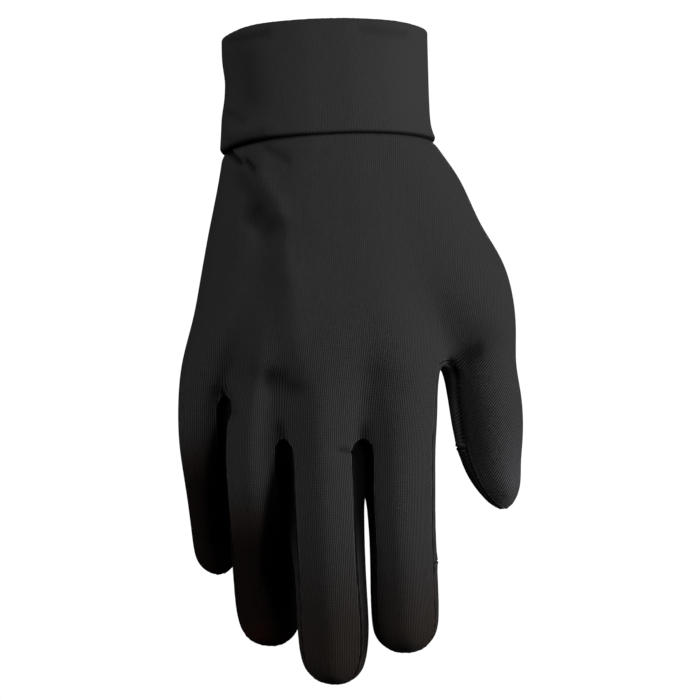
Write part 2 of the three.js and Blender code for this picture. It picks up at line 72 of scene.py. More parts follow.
# Sections down each finger and down the part of the hand above it. Depth is positive towards the
# palm, and turn is how far the back of the section faces to the thumb side, in degrees.
COLUMNS = ("z", "x", "y", "half_width", "half_depth", "turn")
RAYS = {
    "little": [
        (0, -24.5, 0, 8.5, 14.8, 0),
        (-37.5, -25.0, -8, 8.5, 14.8, 0),
        (-60, -29.0, -9, 8.0, 14.2, -4),
        (-82, -32.8, -7, 8.0, 13.4, -6),
        (-93, -34.7, -6.5, 8.0, 12.8, -7.5),
        (-110, -38.8, -5.8, 8.1, 11.6, -10),
        (-122, -40.2, -4.6, 7.8, 10.0, -12),
        (-130, -40.5, -3.0, 7.7, 9.2, -12),
        (-137, -40.0, 0.4, 7.6, 8.8, -12),
        (-150, -38.6, 9.0, 7.3, 8.2, -12),
        (-162, -37.3, 17.2, 7.1, 7.8, -12),
        (-168.5, -36.5, 21.1, 7.4, 7.0, -12),
        (-175, -36.0, 24.2, 6.4, 5.6, -12),
    ],
    "ring": [
        (0, -10.5, 0, 5.6, 20.7, 0),
        (-37.5, -10.2, -8, 5.6, 20.7, 0),
        (-60, -12.0, -9.5, 6.5, 19.5, -2),
        (-82, -15.0, -10.3, 7.5, 17.5, -4),
        (-110, -20.4, -10.5, 8.6, 15.4, -6),
        (-122, -22.5, -10.4, 9.3, 13.8, -6),
        (-135.5, -23.0, -9.2, 9.7, 12.2, -7),
        (-146, -22.4, -7.4, 9.9, 11.2, -8),
        (-153, -22.0, -4.4, 9.9, 10.8, -8),
        (-165, -20.9, 3.2, 10.3, 10.5, -8),
        (-180, -19.7, 13.4, 10.6, 10.2, -8),
        (-191.5, -18.9, 19.6, 10.7, 9.4, -8),
        (-199, -18.4, 22.7, 9.0, 7.6, -8),
    ],
    "middle": [
        (0, 1.5, 0, 5.6, 21.8, 0),
        (-37.5, 3.0, -8, 5.6, 21.8, 0),
        (-60, 3.5, -9.8, 7.0, 20.6, 0),
        (-82, 3.0, -11.3, 9.0, 18.6, -1),
        (-110, 1.0, -12.5, 11.0, 16.5, -3),
        (-122, 0.0, -12.7, 11.8, 15.0, -4),
        (-135.5, 0.1, -11.9, 12.3, 13.4, -6),
        (-150, 0.7, -10.4, 12.2, 12.2, -6),
        (-165, 1.3, -7.2, 12.0, 11.6, -6),
        (-180, 2.1, -1.9, 11.7, 11.2, -6),
        (-195, 2.8, 4.2, 11.8, 10.6, -6),
        (-204.5, 3.0, 8.0, 11.2, 9.6, -6),
        (-211, 2.9, 10.5, 9.2, 8.2, -6),
    ],
    "index": [
        (0, 12.2, 0, 5.0, 20.4, 0),
        (-37.5, 15.2, -8, 5.2, 20.4, 0),
        (-60, 17.6, -9.6, 6.5, 19.2, 2),
        (-82, 21.0, -10.3, 8.5, 17.4, 4),
        (-110, 26.4, -11, 12.0, 15.5, 3),
        (-122, 25.6, -11, 11.5, 14.2, 2),
        (-135.5, 25.0, -10.0, 11.5, 12.6, 0),
        (-150, 25.1, -8.2, 11.4, 11.6, 0),
        (-165, 25.7, -4.8, 11.1, 11.0, 0),
        (-180, 26.3, 0.4, 11.2, 10.6, 0),
        (-190, 26.6, 4.4, 11.2, 10.0, 0),
        (-199.5, 26.8, 8.2, 9.8, 8.6, 0),
    ],
    "thumb": [
        (0, 24.5, 0, 8.5, 14.8, 0),
        (-28, 25.2, -6, 8.5, 14.8, 0),
        (-37.5, 27.0, -8, 8.6, 14.8, 0),
        (-60, 37.9, -5.5, 11.4, 15.0, 6),
        (-71, 41.2, -3.1, 12.6, 15.2, 9),
        (-82, 46.1, -0.5, 14.4, 15.2, 12),
        (-88, 48.9, 0.7, 14.3, 14.9, 13),
        (-96.5, 49.9, 2, 13.5, 14.2, 15),
        (-110, 51.1, 4, 12.4, 12.6, 16),
        (-123.8, 53.4, 6, 12.1, 11.4, 16),
        (-139.6, 55.2, 9, 10.4, 10.0, 16),
        (-151.5, 58.6, 12, 6.4, 6.8, 16),
    ],
}
FINGERS = list(RAYS)
TIPS = {
    "little": (-35.2, 25.0, -179.3),
    "ring": (-17.6, 23.6, -203.0),
    "middle": (2.9, 11.0, -215.2),
    "index": (26.6, 10.0, -204.6),
    "thumb": (60.0, 12.8, -157.0),
}

# Heights of the rings of the cuff and of the hand, down to the crotches of the fingers
CUFF_RINGS = [-0.6, -14, -28]
HAND_RINGS = [-37.5, -52, -67, -82, -96.5, -110, -122, -135.5]
TRUNK_RINGS = CUFF_RINGS + HAND_RINGS
SEAM_RING = len(CUFF_RINGS)
# Heights of the rings of each finger below its crotch
FINGER_RINGS = {
    "little": [-145.5, -155, -165, -174.6],
    "ring": [-147.5, -160, -173, -186, -198.5],
    "middle": [-148, -160.5, -174, -187, -199.5, -210.7],
    "index": [-148.7, -161.8, -175, -188, -199.5],
    "thumb": [-144, -151.5],
}
# Ring at which each finger parts from the next one, and how round the fingers are there and above
PARTING_RINGS = [SEAM_RING + 6, SEAM_RING + 7, SEAM_RING + 7, SEAM_RING + 5]
ROUNDNESS = [0.85, 0.45, 0.15, 0.04]
# Share of the way from one finger's middle to the next that the finger's own half takes up
FINGER_SHARE = 0.42

# Strips on the little side and on the thumb side of each finger
GUSSET = "gusset_index_thumb"
SIDE_PANELS = [
    (None, "fourchette_little_ring"),
    ("fourchette_little_ring", "fourchette_ring_middle"),
    ("fourchette_ring_middle", "fourchette_middle_index"),
    ("fourchette_middle_index", GUSSET),
    (GUSSET, None),
]
# Height at which the gusset ends on the index finger and on the thumb, in a short cross seam
GUSSET_ENDS = {"index": -175, "thumb": -135.5}
# Angles from the middle of a finger's back to the back seam, the middle and the palm seam of a strip,
# on the finger's little side and on its thumb side
STRIP_ANGLES = [
    ((58, 90, 122), (58, 90, 122)),
    ((76, 99, 124), (58, 90, 122)),
    ((58, 90, 122), (58, 90, 122)),
    ((58, 90, 122), (80, 102, 126)),
    ((58, 90, 122), (58, 90, 122)),
]
# Angle from the middle of a strip to its seams at its end, and the length over which it closes to that
END_SPREAD = 10
CLOSING_LENGTH = 40

# Hollows in the cloth of the back: place, direction in degrees from +X towards +Z, size and depth
HOLLOW_COLUMNS = ("x", "z", "direction", "half_length", "half_width", "depth")
HOLLOWS = [
    (-18.6, -61.7, -70, 10, 4.5, 1.2),
    (-28.0, -43.0, -35, 7, 2.2, 0.7),
    (-30.5, -114.0, 85, 10, 4.0, 0.9),
    (-13.5, -118.0, 85, 10, 4.5, 1.1),
    (13.5, -117.0, 95, 10, 4.5, 0.8),
    (45.5, -105.0, 60, 9, 5.0, 1.2),
]

# Creases, dips (depth above 0) and ridges (depth below 0) of the drawn cloth, each along a line. The side
# is the direction from which it is seen: 0 is the back of the hand and 90 the thumb side, in degrees.
# Across is to the right as seen from there. A crease comes in as the cloth turns to face that side.
FACING_CREASE = (0.0, 0.5)
CREASE_COLUMNS = ("side", "across", "z", "to_across", "to_z", "half_width", "depth")
CREASES = [
    # the back, under the cuff on the little side: short folds, and a valley and a ridge that run down
    # to the hollow beside the tendons
    (0, -31.8, -39.6, -28.0, -43.0, 0.9, 1.8),
    (0, -30.2, -38.8, -26.8, -42.0, 1.0, -0.4),
    (0, -25.6, -42.8, -22.8, -45.8, 1.0, 1.3),
    (0, -19.0, -38.5, -12.5, -42.5, 1.6, 0.5),
    (0, -27.5, -48.5, -21.5, -58.0, 3.6, 1.3),
    (0, -23.5, -61.0, -17.8, -64.5, 3.5, 1.8),
    (0, -22.0, -46.5, -15.0, -59.0, 3.0, -0.8),
    (0, -14.2, -61.0, -12.0, -80.0, 3.4, -0.6),
    (0, -10.5, -80.0, -8.5, -114.0, 4.0, -0.5),
    (0, -19.0, -70.0, -16.5, -112.0, 4.5, 0.6),
    # the knuckles
    (0, -25.5, -112.5, -19.5, -114.0, 4.5, 0.8),
    (0, -16.5, -114.5, -10.0, -117.5, 3.2, 1.2),
    (0, -33.5, -119.5, -31.5, -125.0, 2.6, 1.3),
    (0, 17.0, -112.0, 23.0, -116.0, 5.0, 0.5),
    (0, -14.5, -130.0, -13.5, -136.0, 1.8, 0.8),
    (0, 13.0, -131.0, 12.5, -136.0, 1.8, 0.6),
    (0, 5.5, -137.2, 10.5, -138.4, 0.8, 0.7),
    # the web of the thumb and the valley beside the seam of its strip
    (0, 41.8, -109.0, 43.4, -113.5, 1.3, 1.2),
    (0, 42.6, -112.0, 45.4, -134.3, 1.1, 0.9),
    (0, 42.5, -108.2, 50.0, -105.3, 2.4, 0.7),
    (0, 47.0, -106.0, 54.0, -100.5, 4.0, 0.5),
    # the cuff, under its rim, above its seam and where it bows in on the little side
    (0, -30.0, -2.8, -18.5, -0.9, 1.5, 0.6),
    (0, 12.0, 0.3, 25.5, -0.8, 1.6, 0.4),
    (0, -26.5, -10.0, -25.0, -22.0, 5.2, 2.0),
    (0, -31.0, -27.0, -26.5, -29.5, 1.6, 0.5),
    (0, -31.0, -36.4, -20.0, -34.2, 1.8, 0.7),
    (270, 4.0, -17.0, 3.0, -21.0, 6.0, 1.2),
]

# Where two fingers lean on each other: the first finger, the heights at which it starts and ends, and
# how far the line of contact lies off the middle at the back, towards the second finger
CONTACT_COLUMNS = ("ray", "top", "bottom", "bias")
CONTACTS = [
    (0, -114, -182, -0.5),
    (1, -128, -206, -0.5),
    (2, -128, -158, 0.5),
]
# How far the cloth bulges over to touch, how far from the line of contact it does, how softly it meets
# the other finger, and the gap that is left
CONTACT_BULGE = 2.2
BULGE_REACH = 3.0
BULGE_SOFTNESS = 0.05
CONTACT_GAP = 0.12
# Depths at which the contact starts and is full, from the middle of the fingers towards the palm, and
# the depth over which its line leans
CONTACT_DEPTHS = (-6.0, -1.5)
BIAS_DEPTH = 2.5
# Lengths over which it comes in at the top and fades at the bottom, and how far across and deep it goes
CONTACT_COMES_IN = 8
CONTACT_FADES = 10
CONTACT_HALF_WIDTH = 9
CONTACT_HALF_DEPTH = 14
# Heights at which the sections of the two fingers are read
CONTACT_STEPS = 40

# Rounds of smoothing of the net, cells along each side of a quad of it, and how much the cells crowd
# towards a seam
SMOOTHINGS = 4
CELLS = 14
CROWDING = 1.8

# The cloth, and the edges rolled in at its seams
WALL = 0.9
SEAM_ROLL = 0.5
INNER_ROLL_SHARE = 0.6
# Beside each seam the cloth rises in a narrow ridge, pinched at each stitch, and more broadly over the
# seam allowance inside
RIDGE_RISE = 0.34
RIDGE_AT = 0.6
RIDGE_HALF_WIDTH = 0.32
STITCH_PINCH = 0.4
ALLOWANCE_WIDTH = 3.2
ALLOWANCE_RISE = 0.16
# Fine puckers along the seams, and the slow waves of the drape: bump size and height
PUCKER_SIZE = 2.2
PUCKER_RISE = 0.16
PUCKER_REACH = 2.5
DRAPE_SIZE = 16.0
DRAPE_RISE = 0.1
# How far apart the noise is read for one seed and the next, in bumps
NOISE_SHIFT = Vector((17.3, 5.1, 9.7))
# How deep each strip dips between its seams, and the heights between which the dip fades out
STRIP_DIPS = {
    "fourchette_little_ring": (1.1, -148, -166),
    "fourchette_ring_middle": (1.1, -162, -186),
    "fourchette_middle_index": (1.1, -150, -178),
}
# Distances from the seam at which the dip starts, is full, starts to end and has ended
DIP_COMES_IN = (0.2, 1.4)
DIP_FADES = (3.0, 6.0)

# The cuff stands proud of the hand, which is tucked in under its seam. Its rolled lower edge gets
# thicker towards the little finger, between two distances from the middle.
CUFF_WALL = 2.2
CUFF_PROUD = 1.0
CUFF_TUCK = 0.7
TUCK_REACH = 1.6
CUFF_ROLL = 1.1
CUFF_ROLL_GAIN = 0.7
CUFF_GETS_THICKER = (-2, 26)
CUFF_DRAPE_RISE = 0.12
CUFF_PUCKER_RISE = 0.1
CUFF_PUCKER_REACH = 4
# The radius by which the cuff's pattern is laid flat, and the cuff's lean
BAND_RADIUS = 26.0
BAND_LEAN = 0.21

# The sewing thread: the pitch of its stitches, how far each runs along the seam and reaches over it, the
# length over which the seam's own run is read, how deep a stitch lies and how much less at its ends, the
# thread's radius and how blunt its ends are
STITCH_PITCH = 2.0
STITCH_RUN = 0.25
STITCH_REACH = 0.55
STITCH_SPAN = 0.3
STITCH_DEPTH = 0.5
STITCH_END_RISE = 0.22
THREAD_RADIUS = 0.14
THREAD_END = 0.12

# Where the look of the cloth changes. A pair of numbers is a range over which a change comes in: going
# down from the rim of the cuff, or across towards the thumb.
# The line between the little and the ring finger, and where the middle finger starts
RING_LINE = {"across": -33.8, "down": 121, "slope": 0.055, "half_width": 0.8}
MIDDLE_STARTS = (-12, -10.5)
# The tips of the little, the ring and the other fingers are painted darker and warmer. This is a painted
# shade of the fingers that curl under, and it is weaker on the palm side. The columns give where it starts,
# over what length it comes in and how strong it is. The last share of it is a painted warm glow that comes in
# at the very ends.
TIP_SHADE_COLUMNS = ("start", "length", "strength")
TIP_PAINTED_SHADE = [(127, 25, 1.0), (147, 25, 1.0), (157, 50, 0.5)]
TIP_PAINTED_GLOW = (46, 56)
TIP_PAINTED_GLOW_SHARE = 0.15
TIP_SHADE_ON_PALM = 0.25
# The shade on the little and on the ring finger from the finger beside it, which stands further out: its
# edge as places down the finger and across, its width, and where it comes in and fades out going down
NEIGHBOUR_SHADES = [
    {
        "down": (122, 129, 135, 141, 154, 166, 173),
        "edge": (-33, -34.6, -36.2, -37.2, -37.5, -36.8, -35.3),
        "width": 3.2,
        "comes_in": (120, 128),
        "fades": (168, 178),
    },
    {
        "down": (134, 141, 154, 166, 178, 190),
        "edge": (-14.5, -15.5, -18.0, -19.3, -19.8, -16.0),
        "width": 2.8,
        "comes_in": (136, 146),
        "fades": (188, 200),
    },
]
# How much light creases, seams, the cuff's edge and a neighbouring finger hold back, how much the strips
# still get in the crotches of the fingers, and where they come out of them, going down
CREASE_STEEPNESS = 1.2
CREASE_SHADE = 0.8
SEAM_SHADE = 0.4
SEAM_SHADE_REACH = 0.5
CUFF_SHADE = 0.7
CUFF_SHADE_REACH = 0.5
NEIGHBOUR_SHADE = 0.9
CROTCH_LIGHT = 0.2
CROTCH_ENDS = (155, 190)
# The ridges beside the seams get a painted highlight, and two places beside the thumb get painted light,
# on the gusset strip and on the thumb's end: going down, across, and how much
RIDGE_PAINTED_HIGHLIGHT = 0.7
RIDGE_HIGHLIGHT_SPREAD = 0.5
RIDGE_HIGHLIGHT_HALF_WIDTH = 0.28
PAINTED_LIGHT_PLACES = {
    "gusset_index_thumb": ((109, 114), (40, 43), 3.0),
    "back_panel": ((125, 150), (46, 56), 0.5),
}
# The ribs are drawn open on the lower back and on the thumb, and less on the other panels
OPENED_DOWN = (85, 125)
OPENED_DOWN_SHARE = 0.75
ON_THUMB = (34, 44)
OPENED_ELSEWHERE = 0.3
# Where the ribs turn to run diagonally, on the thumb
DIAGONAL_DOWN = (88, 108)
# The painted shade of the fingertips and a finger's shade come in where the cloth turns from facing the
# palm to facing the back
FACING_TIP_SHADE = (-0.4, 0.4)
FACING_SHADE = (-0.2, 0.2)

# Pitch of the jersey's ribs and rows, drawn about 1.5 times as coarse as the real 0.45 and 0.35 so
# that they show, and of the diagonal ribs on the stretched thumb
RIB_PITCH = 0.68
ROW_PITCH = 0.55
BIAS_PITCH = 0.76
# Millimetres of cloth for one unit of the pattern's coordinates
PATTERN_UNIT = 100.0
# Slant of the loops' legs, in rows over half a rib, and how much the rows cut into the ribs
LOOP_SLANT = 0.45
ROW_RELIEF = 0.22
# Patches where the ribs are worn down, loose filament ends, and specks of light between them: the size
# of the bumps, from their number in a metre, and how much finer detail they have. The thread's twist
# has a size and a height.
GRAINS = {"patches": (1000 / 55, 3.0), "fuzz": (1000 / 2600, 2.0), "specks": (1000 / 2000, 2.0)}
TWIST_SIZE = 1000 / 1800
TWIST_RISE = 0.05
# How much of their height the ribs keep on worn patches, the range of the noise that makes the patches,
# and how far the filament ends stand up beside a whole rib
WORN_RELIEF = 0.35
PATCH_RANGE = (0.35, 0.65)
FUZZ_RISE = 0.5
# The shade of the cloth: its mean, at a rib's mean height, the least it goes down to, and how it changes
# where the ribs are drawn open, where light is painted on and with the noise
MEAN_SHADE = 0.88
MEAN_HEIGHT = 0.52
LEAST_SHADE = 0.02
OPENED_CONTRAST = 4.6
OPENED_SHADE = -0.14
PAINTED_LIGHT_GAIN = 1.5
PATCH_SHADES = (0.3, 0.9)
SPECK_SHADES = (2.4, -0.2)
# Gloss and bloom of the cloth, which the tips have less of, as part of their painted shade
GLOSS = 0.5
TIP_GLOSS_LOSS = 0.4
TIP_BLOOM_LOSS = 0.85
# Places of the colours from the hand to the very end of a finger. Past the first they are painted shade of
# the curled fingertips, darker and warmer, and the last is a painted warm glow at the very ends.
COLOUR_STOPS = (0.0, 0.4, 0.85, 1.0)

# The photograph's frame: one pixel in millimetres, and the pixel at which the axes cross
PIXEL = 0.33
FRAME_PIXELS = 700
ORIGIN_PIXEL = (324.5, 33.0)

# The studio, in metres: the camera's distance, half the floor's width and how far it lies below the
# fingers. The white all round looks brighter than it lights the glove.
CAMERA_DISTANCE = 2.5
FLOOR_HALF = 0.7
FLOOR_DROP = 0.1
SKY_SEEN = 1.05
SKY_LIGHT = 0.012


def table_value(sections, column, z):
    """A value of a table at any height, on a smooth curve through its rows."""
    k = COLUMNS.index(column)
    last = len(sections) - 1
    i = 0
    while i < last - 1 and z < sections[i + 1][0]:
        i += 1

    def slope(n):
        before = sections[max(n - 1, 0)]
        after = sections[min(n + 1, last)]
        return (after[k] - before[k]) / (after[0] - before[0])

    span = sections[i + 1][0] - sections[i][0]
    t = (z - sections[i][0]) / span
    blend = t * t * (3 - 2 * t)
    bend = slope(i) * t * (1 - t) ** 2 - slope(i + 1) * t * t * (1 - t)
    return sections[i][k] * (1 - blend) + sections[i + 1][k] * blend + span * bend


def unit(vectors):
    return vectors / np.linalg.norm(vectors, axis=-1, keepdims=True)


def smooth_share(value, low, high):
    """0 up to low, 1 from high up, and a smooth rise between."""
    t = np.clip((value - low) / (high - low), 0, 1)
    return t * t * (3 - 2 * t)


def bell(distance, reach):
    """1 at no distance, and a smooth fall over the reach."""
    return np.exp(-(distance / reach) ** 2)


def read_along(places, known, values):
    """Rows of values, given at known places on a line, read at other places on it."""
    return np.stack([np.interp(places, known, column) for column in np.transpose(values)], axis=-1)


WRIST_AXIS = unit(np.array([
    math.sin(math.radians(WRIST_RISE)),
    -math.sin(math.radians(WRIST_LEAN)),
    -math.cos(math.radians(WRIST_LEAN)),
]))


def wrist_share(z):
    """1 at the wrist, 0 from the middle of the hand down."""
    return smooth_share(z, HAND_START, WRIST_END)


def section_at(finger, z):
    """The oval section of a finger, square to the finger's own line."""
    sections = RAYS[finger]

    def line_at(height):
        return np.array([table_value(sections, "x", height), table_value(sections, "y", height), height])

    step = 2
    share = wrist_share(z)
    along = unit(line_at(z - step) - line_at(z + step)) * (1 - share) + WRIST_AXIS * share
    along = unit(along)
    turn = math.radians(table_value(sections, "turn", z))
    back = np.array([math.sin(turn), -math.cos(turn), 0.0])
    back = unit(back - along * back.dot(along))
    return {
        "centre": line_at(z),
        "back": back,
        "side": np.cross(back, along),
        "half_width": table_value(sections, "half_width", z),
        "half_depth": table_value(sections, "half_depth", z),
    }


def oval_point(section, degrees):
    """A point of an oval, at an angle from the middle of its back towards the thumb side."""
    angle = math.radians(degrees)
    deep = section["back"] * section["half_depth"] * math.cos(angle)
    wide = section["side"] * section["half_width"] * math.sin(angle)
    return section["centre"] + deep + wide


def cubic_weights(t):
    """Weights of four points in a row for a smooth curve between the middle two."""
    return (
        -0.5 * t + t * t - 0.5 * t ** 3,
        1 - 2.5 * t * t + 1.5 * t ** 3,
        0.5 * t + 2 * t * t - 1.5 * t ** 3,
        -0.5 * t * t + 0.5 * t ** 3,
    )


def hand_curve(sections):
    """A smooth closed curve once round the hand, through the middles of the fingers' backs and palms."""
    keys = [oval_point(sections[0], -90)]
    keys += [oval_point(section, 0) for section in sections]
    keys += [oval_point(sections[4], 90)]
    keys += [oval_point(section, 180) for section in reversed(sections)]

    def point_at(place):
        i = math.floor(place)
        weights = cubic_weights(place - i)
        return sum(weight * keys[(i + n - 1) % len(keys)] for n, weight in enumerate(weights))

    return point_at


def places_on_hand(ray):
    """Where each of a finger's eight points lies on the hand curve. Points 0 to 2 are on its back,
    3 on its thumb side, 4 to 6 on its palm and 7 on its little side."""
    back = 1 + ray
    palm = 11 - ray
    to_little = 0.5 if ray == 0 else FINGER_SHARE
    to_thumb = 0.5 if ray == 4 else FINGER_SHARE
    return [back - to_little, back, back + to_thumb, 6, palm - to_thumb, palm, palm + to_little, 0]


def strip_angles(ray, side, z):
    """Angles of the back seam, the middle and the palm seam on one side of a finger. The seams near each
    other where the strip ends."""
    panel = SIDE_PANELS[ray][side]
    back, middle, palm = STRIP_ANGLES[ray][side]
    if not panel:
        return back, middle, palm
    finger = FINGERS[ray]
    end = GUSSET_ENDS[finger] if panel == GUSSET else FINGER_RINGS[finger][-1]
    width = smooth_share(abs(z - end), 0, CLOSING_LENGTH)
    back_spread = END_SPREAD + (middle - back - END_SPREAD) * width
    palm_spread = END_SPREAD + (palm - middle - END_SPREAD) * width
    return middle - back_spread, middle, middle + palm_spread


def finger_ring(ray, section):
    little = strip_angles(ray, 0, section["centre"][2])
    thumb = strip_angles(ray, 1, section["centre"][2])
    angles = [-little[0], 0, *thumb, 180, -little[2], -little[1]]
    return [oval_point(section, degrees) for degrees in angles]


def parting_ring(ray, point):
    """The ring at which a side of a finger is free: points 0, 6 and 7 are on the little side."""
    side = ray - 1 if point in (0, 6, 7) else ray
    return PARTING_RINGS[min(max(side, 0), len(PARTING_RINGS) - 1)]


def is_open(ray, point, ring):
    """The side points, 3 and 7, exist only where the finger's side is open."""
    outer = (ray == 0 and point == 7) or (ray == 4 and point == 3)
    return outer or point not in (3, 7) or ring >= parting_ring(ray, point)


def hand_ring(ray, ring, section, curve):
    """The eight points of a finger on one ring of the hand, between the hand's curve and its own oval."""
    places = places_on_hand(ray)
    points = []
    for point, own in enumerate(finger_ring(ray, section)):
        above = parting_ring(ray, point) - ring
        inner = (point == 3 and ray < 4) or (point == 7 and ray > 0)
        beyond = 0 if above >= len(ROUNDNESS) else ROUNDNESS[max(above, 0)]
        round_share = 1 if above < 0 or inner else beyond
        points.append(curve(places[point]) * (1 - round_share) + own * round_share)
    return points


def panel_of(ray, point, ring, z):
    """The panel that covers the net from one point of a finger to the next. The back panel goes round
    the outer sides of the hand, and past the end of the gusset the palm panel takes its place."""
    if ring < SEAM_RING:
        return "cuff_band"
    if point < 2:
        return "back_panel"
    if point in (4, 5):
        return "palm_panel"
    strip = SIDE_PANELS[ray][1 if point < 4 else 0]
    if strip == GUSSET and z <= GUSSET_ENDS[FINGERS[ray]]:
        return "palm_panel"
    return strip or "back_panel"


def risen(position):
    """The rings of the wrist rise from the little side to the thumb side, the rim less than the seam."""
    rise = RIM_RISE + (WRIST_RISE - RIM_RISE) * position[2] / WRIST_END
    height = position[0] * math.tan(math.radians(rise)) * wrist_share(position[2])
    return position + np.array([0, 0, height])


def glove_net():
    """The coarse net of the whole glove: its points, its quads, the panel of each quad and the number of
    each named point."""
    points = []
    numbers = {}

    def put(name, position):
        numbers[name] = len(points)
        points.append(position)

    for ring, z in enumerate(TRUNK_RINGS):
        sections = [section_at(finger, z) for finger in FINGERS]
        curve = hand_curve(sections)
        for ray, section in enumerate(sections):
            for point, position in enumerate(hand_ring(ray, ring, section, curve)):
                if is_open(ray, point, ring):
                    put((ray, ring, point), risen(position))
    for ray, finger in enumerate(FINGERS):
        for n, z in enumerate(FINGER_RINGS[finger]):
            for point, position in enumerate(finger_ring(ray, section_at(finger, z))):
                put((ray, len(TRUNK_RINGS) + n, point), position)
        put((ray, "tip"), np.array(TIPS[finger]))

    quads = []
    panels = []

    def add(panel, *names):
        quads.append([numbers[name] for name in names])
        panels.append(panel)

    for ray, finger in enumerate(FINGERS):
        heights = TRUNK_RINGS + FINGER_RINGS[finger]
        last = len(heights) - 1
        for ring in range(last):
            for point in range(8):
                following = (point + 1) % 8
                if is_open(ray, point, ring) and is_open(ray, following, ring):
                    corners = [(ring, point), (ring + 1, point), (ring + 1, following), (ring, following)]
                    add(panel_of(ray, point, ring, heights[ring]), *[(ray, *corner) for corner in corners])
        for point in (0, 2, 4, 6):
            before, middle, after = [(ray, last, (point + n) % 8) for n in range(3)]
            add(panel_of(ray, point, last, heights[last]), before, (ray, "tip"), after, middle)
    for ray, parting in enumerate(PARTING_RINGS):
        for ring in range(parting):
            back = "cuff_band" if ring < SEAM_RING else "back_panel"
            palm = "cuff_band" if ring < SEAM_RING else "palm_panel"
            add(back, (ray, ring, 2), (ray, ring + 1, 2), (ray + 1, ring + 1, 0), (ray + 1, ring, 0))
            add(palm, (ray + 1, ring, 6), (ray + 1, ring + 1, 6), (ray, ring + 1, 4), (ray, ring, 4))
        strip = SIDE_PANELS[ray][1]
        add(strip, (ray, parting, 2), (ray, parting, 3), (ray + 1, parting, 7), (ray + 1, parting, 0))
        add(strip, (ray, parting, 3), (ray, parting, 4), (ray + 1, parting, 6), (ray + 1, parting, 7))
    return np.array(points), np.array(quads), np.array(panels), numbers


def edges_of(quads):
    """The ends of each edge, the edge on each side of each quad, and which edges are open."""
    sides = np.stack([quads, np.roll(quads, -1, axis=1)], axis=2)
    low, high = sides.min(axis=2), sides.max(axis=2)
    keys = (low * (quads.max() + 1) + high).ravel()
    _, first, edge_of_side, uses = np.unique(keys, return_index=True, return_inverse=True, return_counts=True)
    ends = np.stack([low.ravel()[first], high.ravel()[first]], axis=1)
    return ends, edge_of_side.reshape(quads.shape), uses == 1


def totals(count, places, values):
    """The sum of the values that fall on each of count places."""
    sums = np.zeros((count, values.shape[1]))
    np.add.at(sums, places, values)
    return sums


def surroundings(points, quads):
    """For each point: the mean of its neighbours along edges, of the far corners and of the middles of its
    quads, how many edges it has, and the mean of its neighbours along open edges where it has any."""
    count = len(points)
    ends, edge_of_side, is_rim = edges_of(quads)
    both = np.concatenate([ends, ends[:, ::-1]])
    edges = np.bincount(both[:, 0], minlength=count)[:, None]
    beside = totals(count, both[:, 0], points[both[:, 1]]) / edges
    uses = np.bincount(quads.ravel(), minlength=count)[:, None]
    across = totals(count, quads.ravel(), points[np.roll(quads, -2, axis=1).ravel()]) / uses
    middles = points[quads].mean(axis=1)
    around = totals(count, quads.ravel(), np.repeat(middles, 4, axis=0)) / uses
    rims = np.concatenate([ends[is_rim], ends[is_rim][:, ::-1]])
    on_rim = np.bincount(rims[:, 0], minlength=count) > 0
    along_rim = totals(count, rims[:, 0], points[rims[:, 1]]) / 2
    return beside, across, around, edges, on_rim, along_rim


def limit_points(points, quads):
    """Where the points of a net end up on the smooth surface that endless subdivision gives."""
    beside, across, _, edges, on_rim, along_rim = surroundings(points, quads)
    inside = (4 * beside + across + edges * points) / (edges + 5)
    return np.where(on_rim[:, None], along_rim / 3 + points * 2 / 3, inside)


def surface_normals(points, quads):
    a, b, c, d = points[quads].transpose(1, 0, 2)
    normal = np.cross(c - a, d - b)
    return unit(totals(len(points), quads.ravel(), np.repeat(normal, 4, axis=0)))


def fitted(points, quads, rounds=12):
    """The net moved in or out until its smooth surface is level with where its points were."""
    targets = points.copy()
    for _ in range(rounds):
        normals = surface_normals(points, quads)
        short = ((targets - limit_points(points, quads)) * normals).sum(axis=1, keepdims=True)
        points = points + normals * short
    return points


def cells_of(grids):
    """The quads of the grids, one after another."""
    corners = [grids[:, :-1, :-1], grids[:, 1:, :-1], grids[:, 1:, 1:], grids[:, :-1, 1:]]
    return np.stack(corners, axis=-1).reshape(-1, 4)


def smoothed(points, grids):
    """One round of Catmull-Clark subdivision, on a net held as one grid of point numbers for each quad."""
    quads = cells_of(grids)
    ends, edge_of_side, is_rim = edges_of(quads)
    beside, _, around, edges, on_rim, along_rim = surroundings(points, quads)
    middles = points[quads].mean(axis=1)
    inside = (beside + around + (edges - 2) * points) / edges
    moved = np.where(on_rim[:, None], along_rim / 4 + points * 3 / 4, inside)
    halfway = points[ends].mean(axis=1)
    beyond = totals(len(ends), edge_of_side.ravel(), np.repeat(middles, 4, axis=0)) / 2
    split = np.where(is_rim[:, None], halfway, (halfway + beyond) / 2)

    count, size = len(points), grids.shape[1]
    finer = np.empty((len(grids), 2 * size - 1, 2 * size - 1), int)
    sides = (count + len(quads) + edge_of_side).reshape(len(grids), size - 1, size - 1, 4)
    finer[:, ::2, ::2] = grids
    finer[:, 1::2, 1::2] = (count + np.arange(len(quads))).reshape(len(grids), size - 1, size - 1)
    finer[:, 1::2, :-1:2] = sides[..., 0]
    finer[:, 2::2, 1::2] = sides[..., 1]
    finer[:, 1::2, 2::2] = sides[..., 2]
    finer[:, :-1:2, 1::2] = sides[..., 3]
    return np.concatenate([moved, middles, split]), finer


def refined(values, quads):
    """Values of the net's points after all rounds of smoothing, and the grids of their numbers."""
    grids = quads[:, [[0, 3], [1, 2]]]
    for _ in range(SMOOTHINGS):
        values, grids = smoothed(values, grids)
    return values, grids


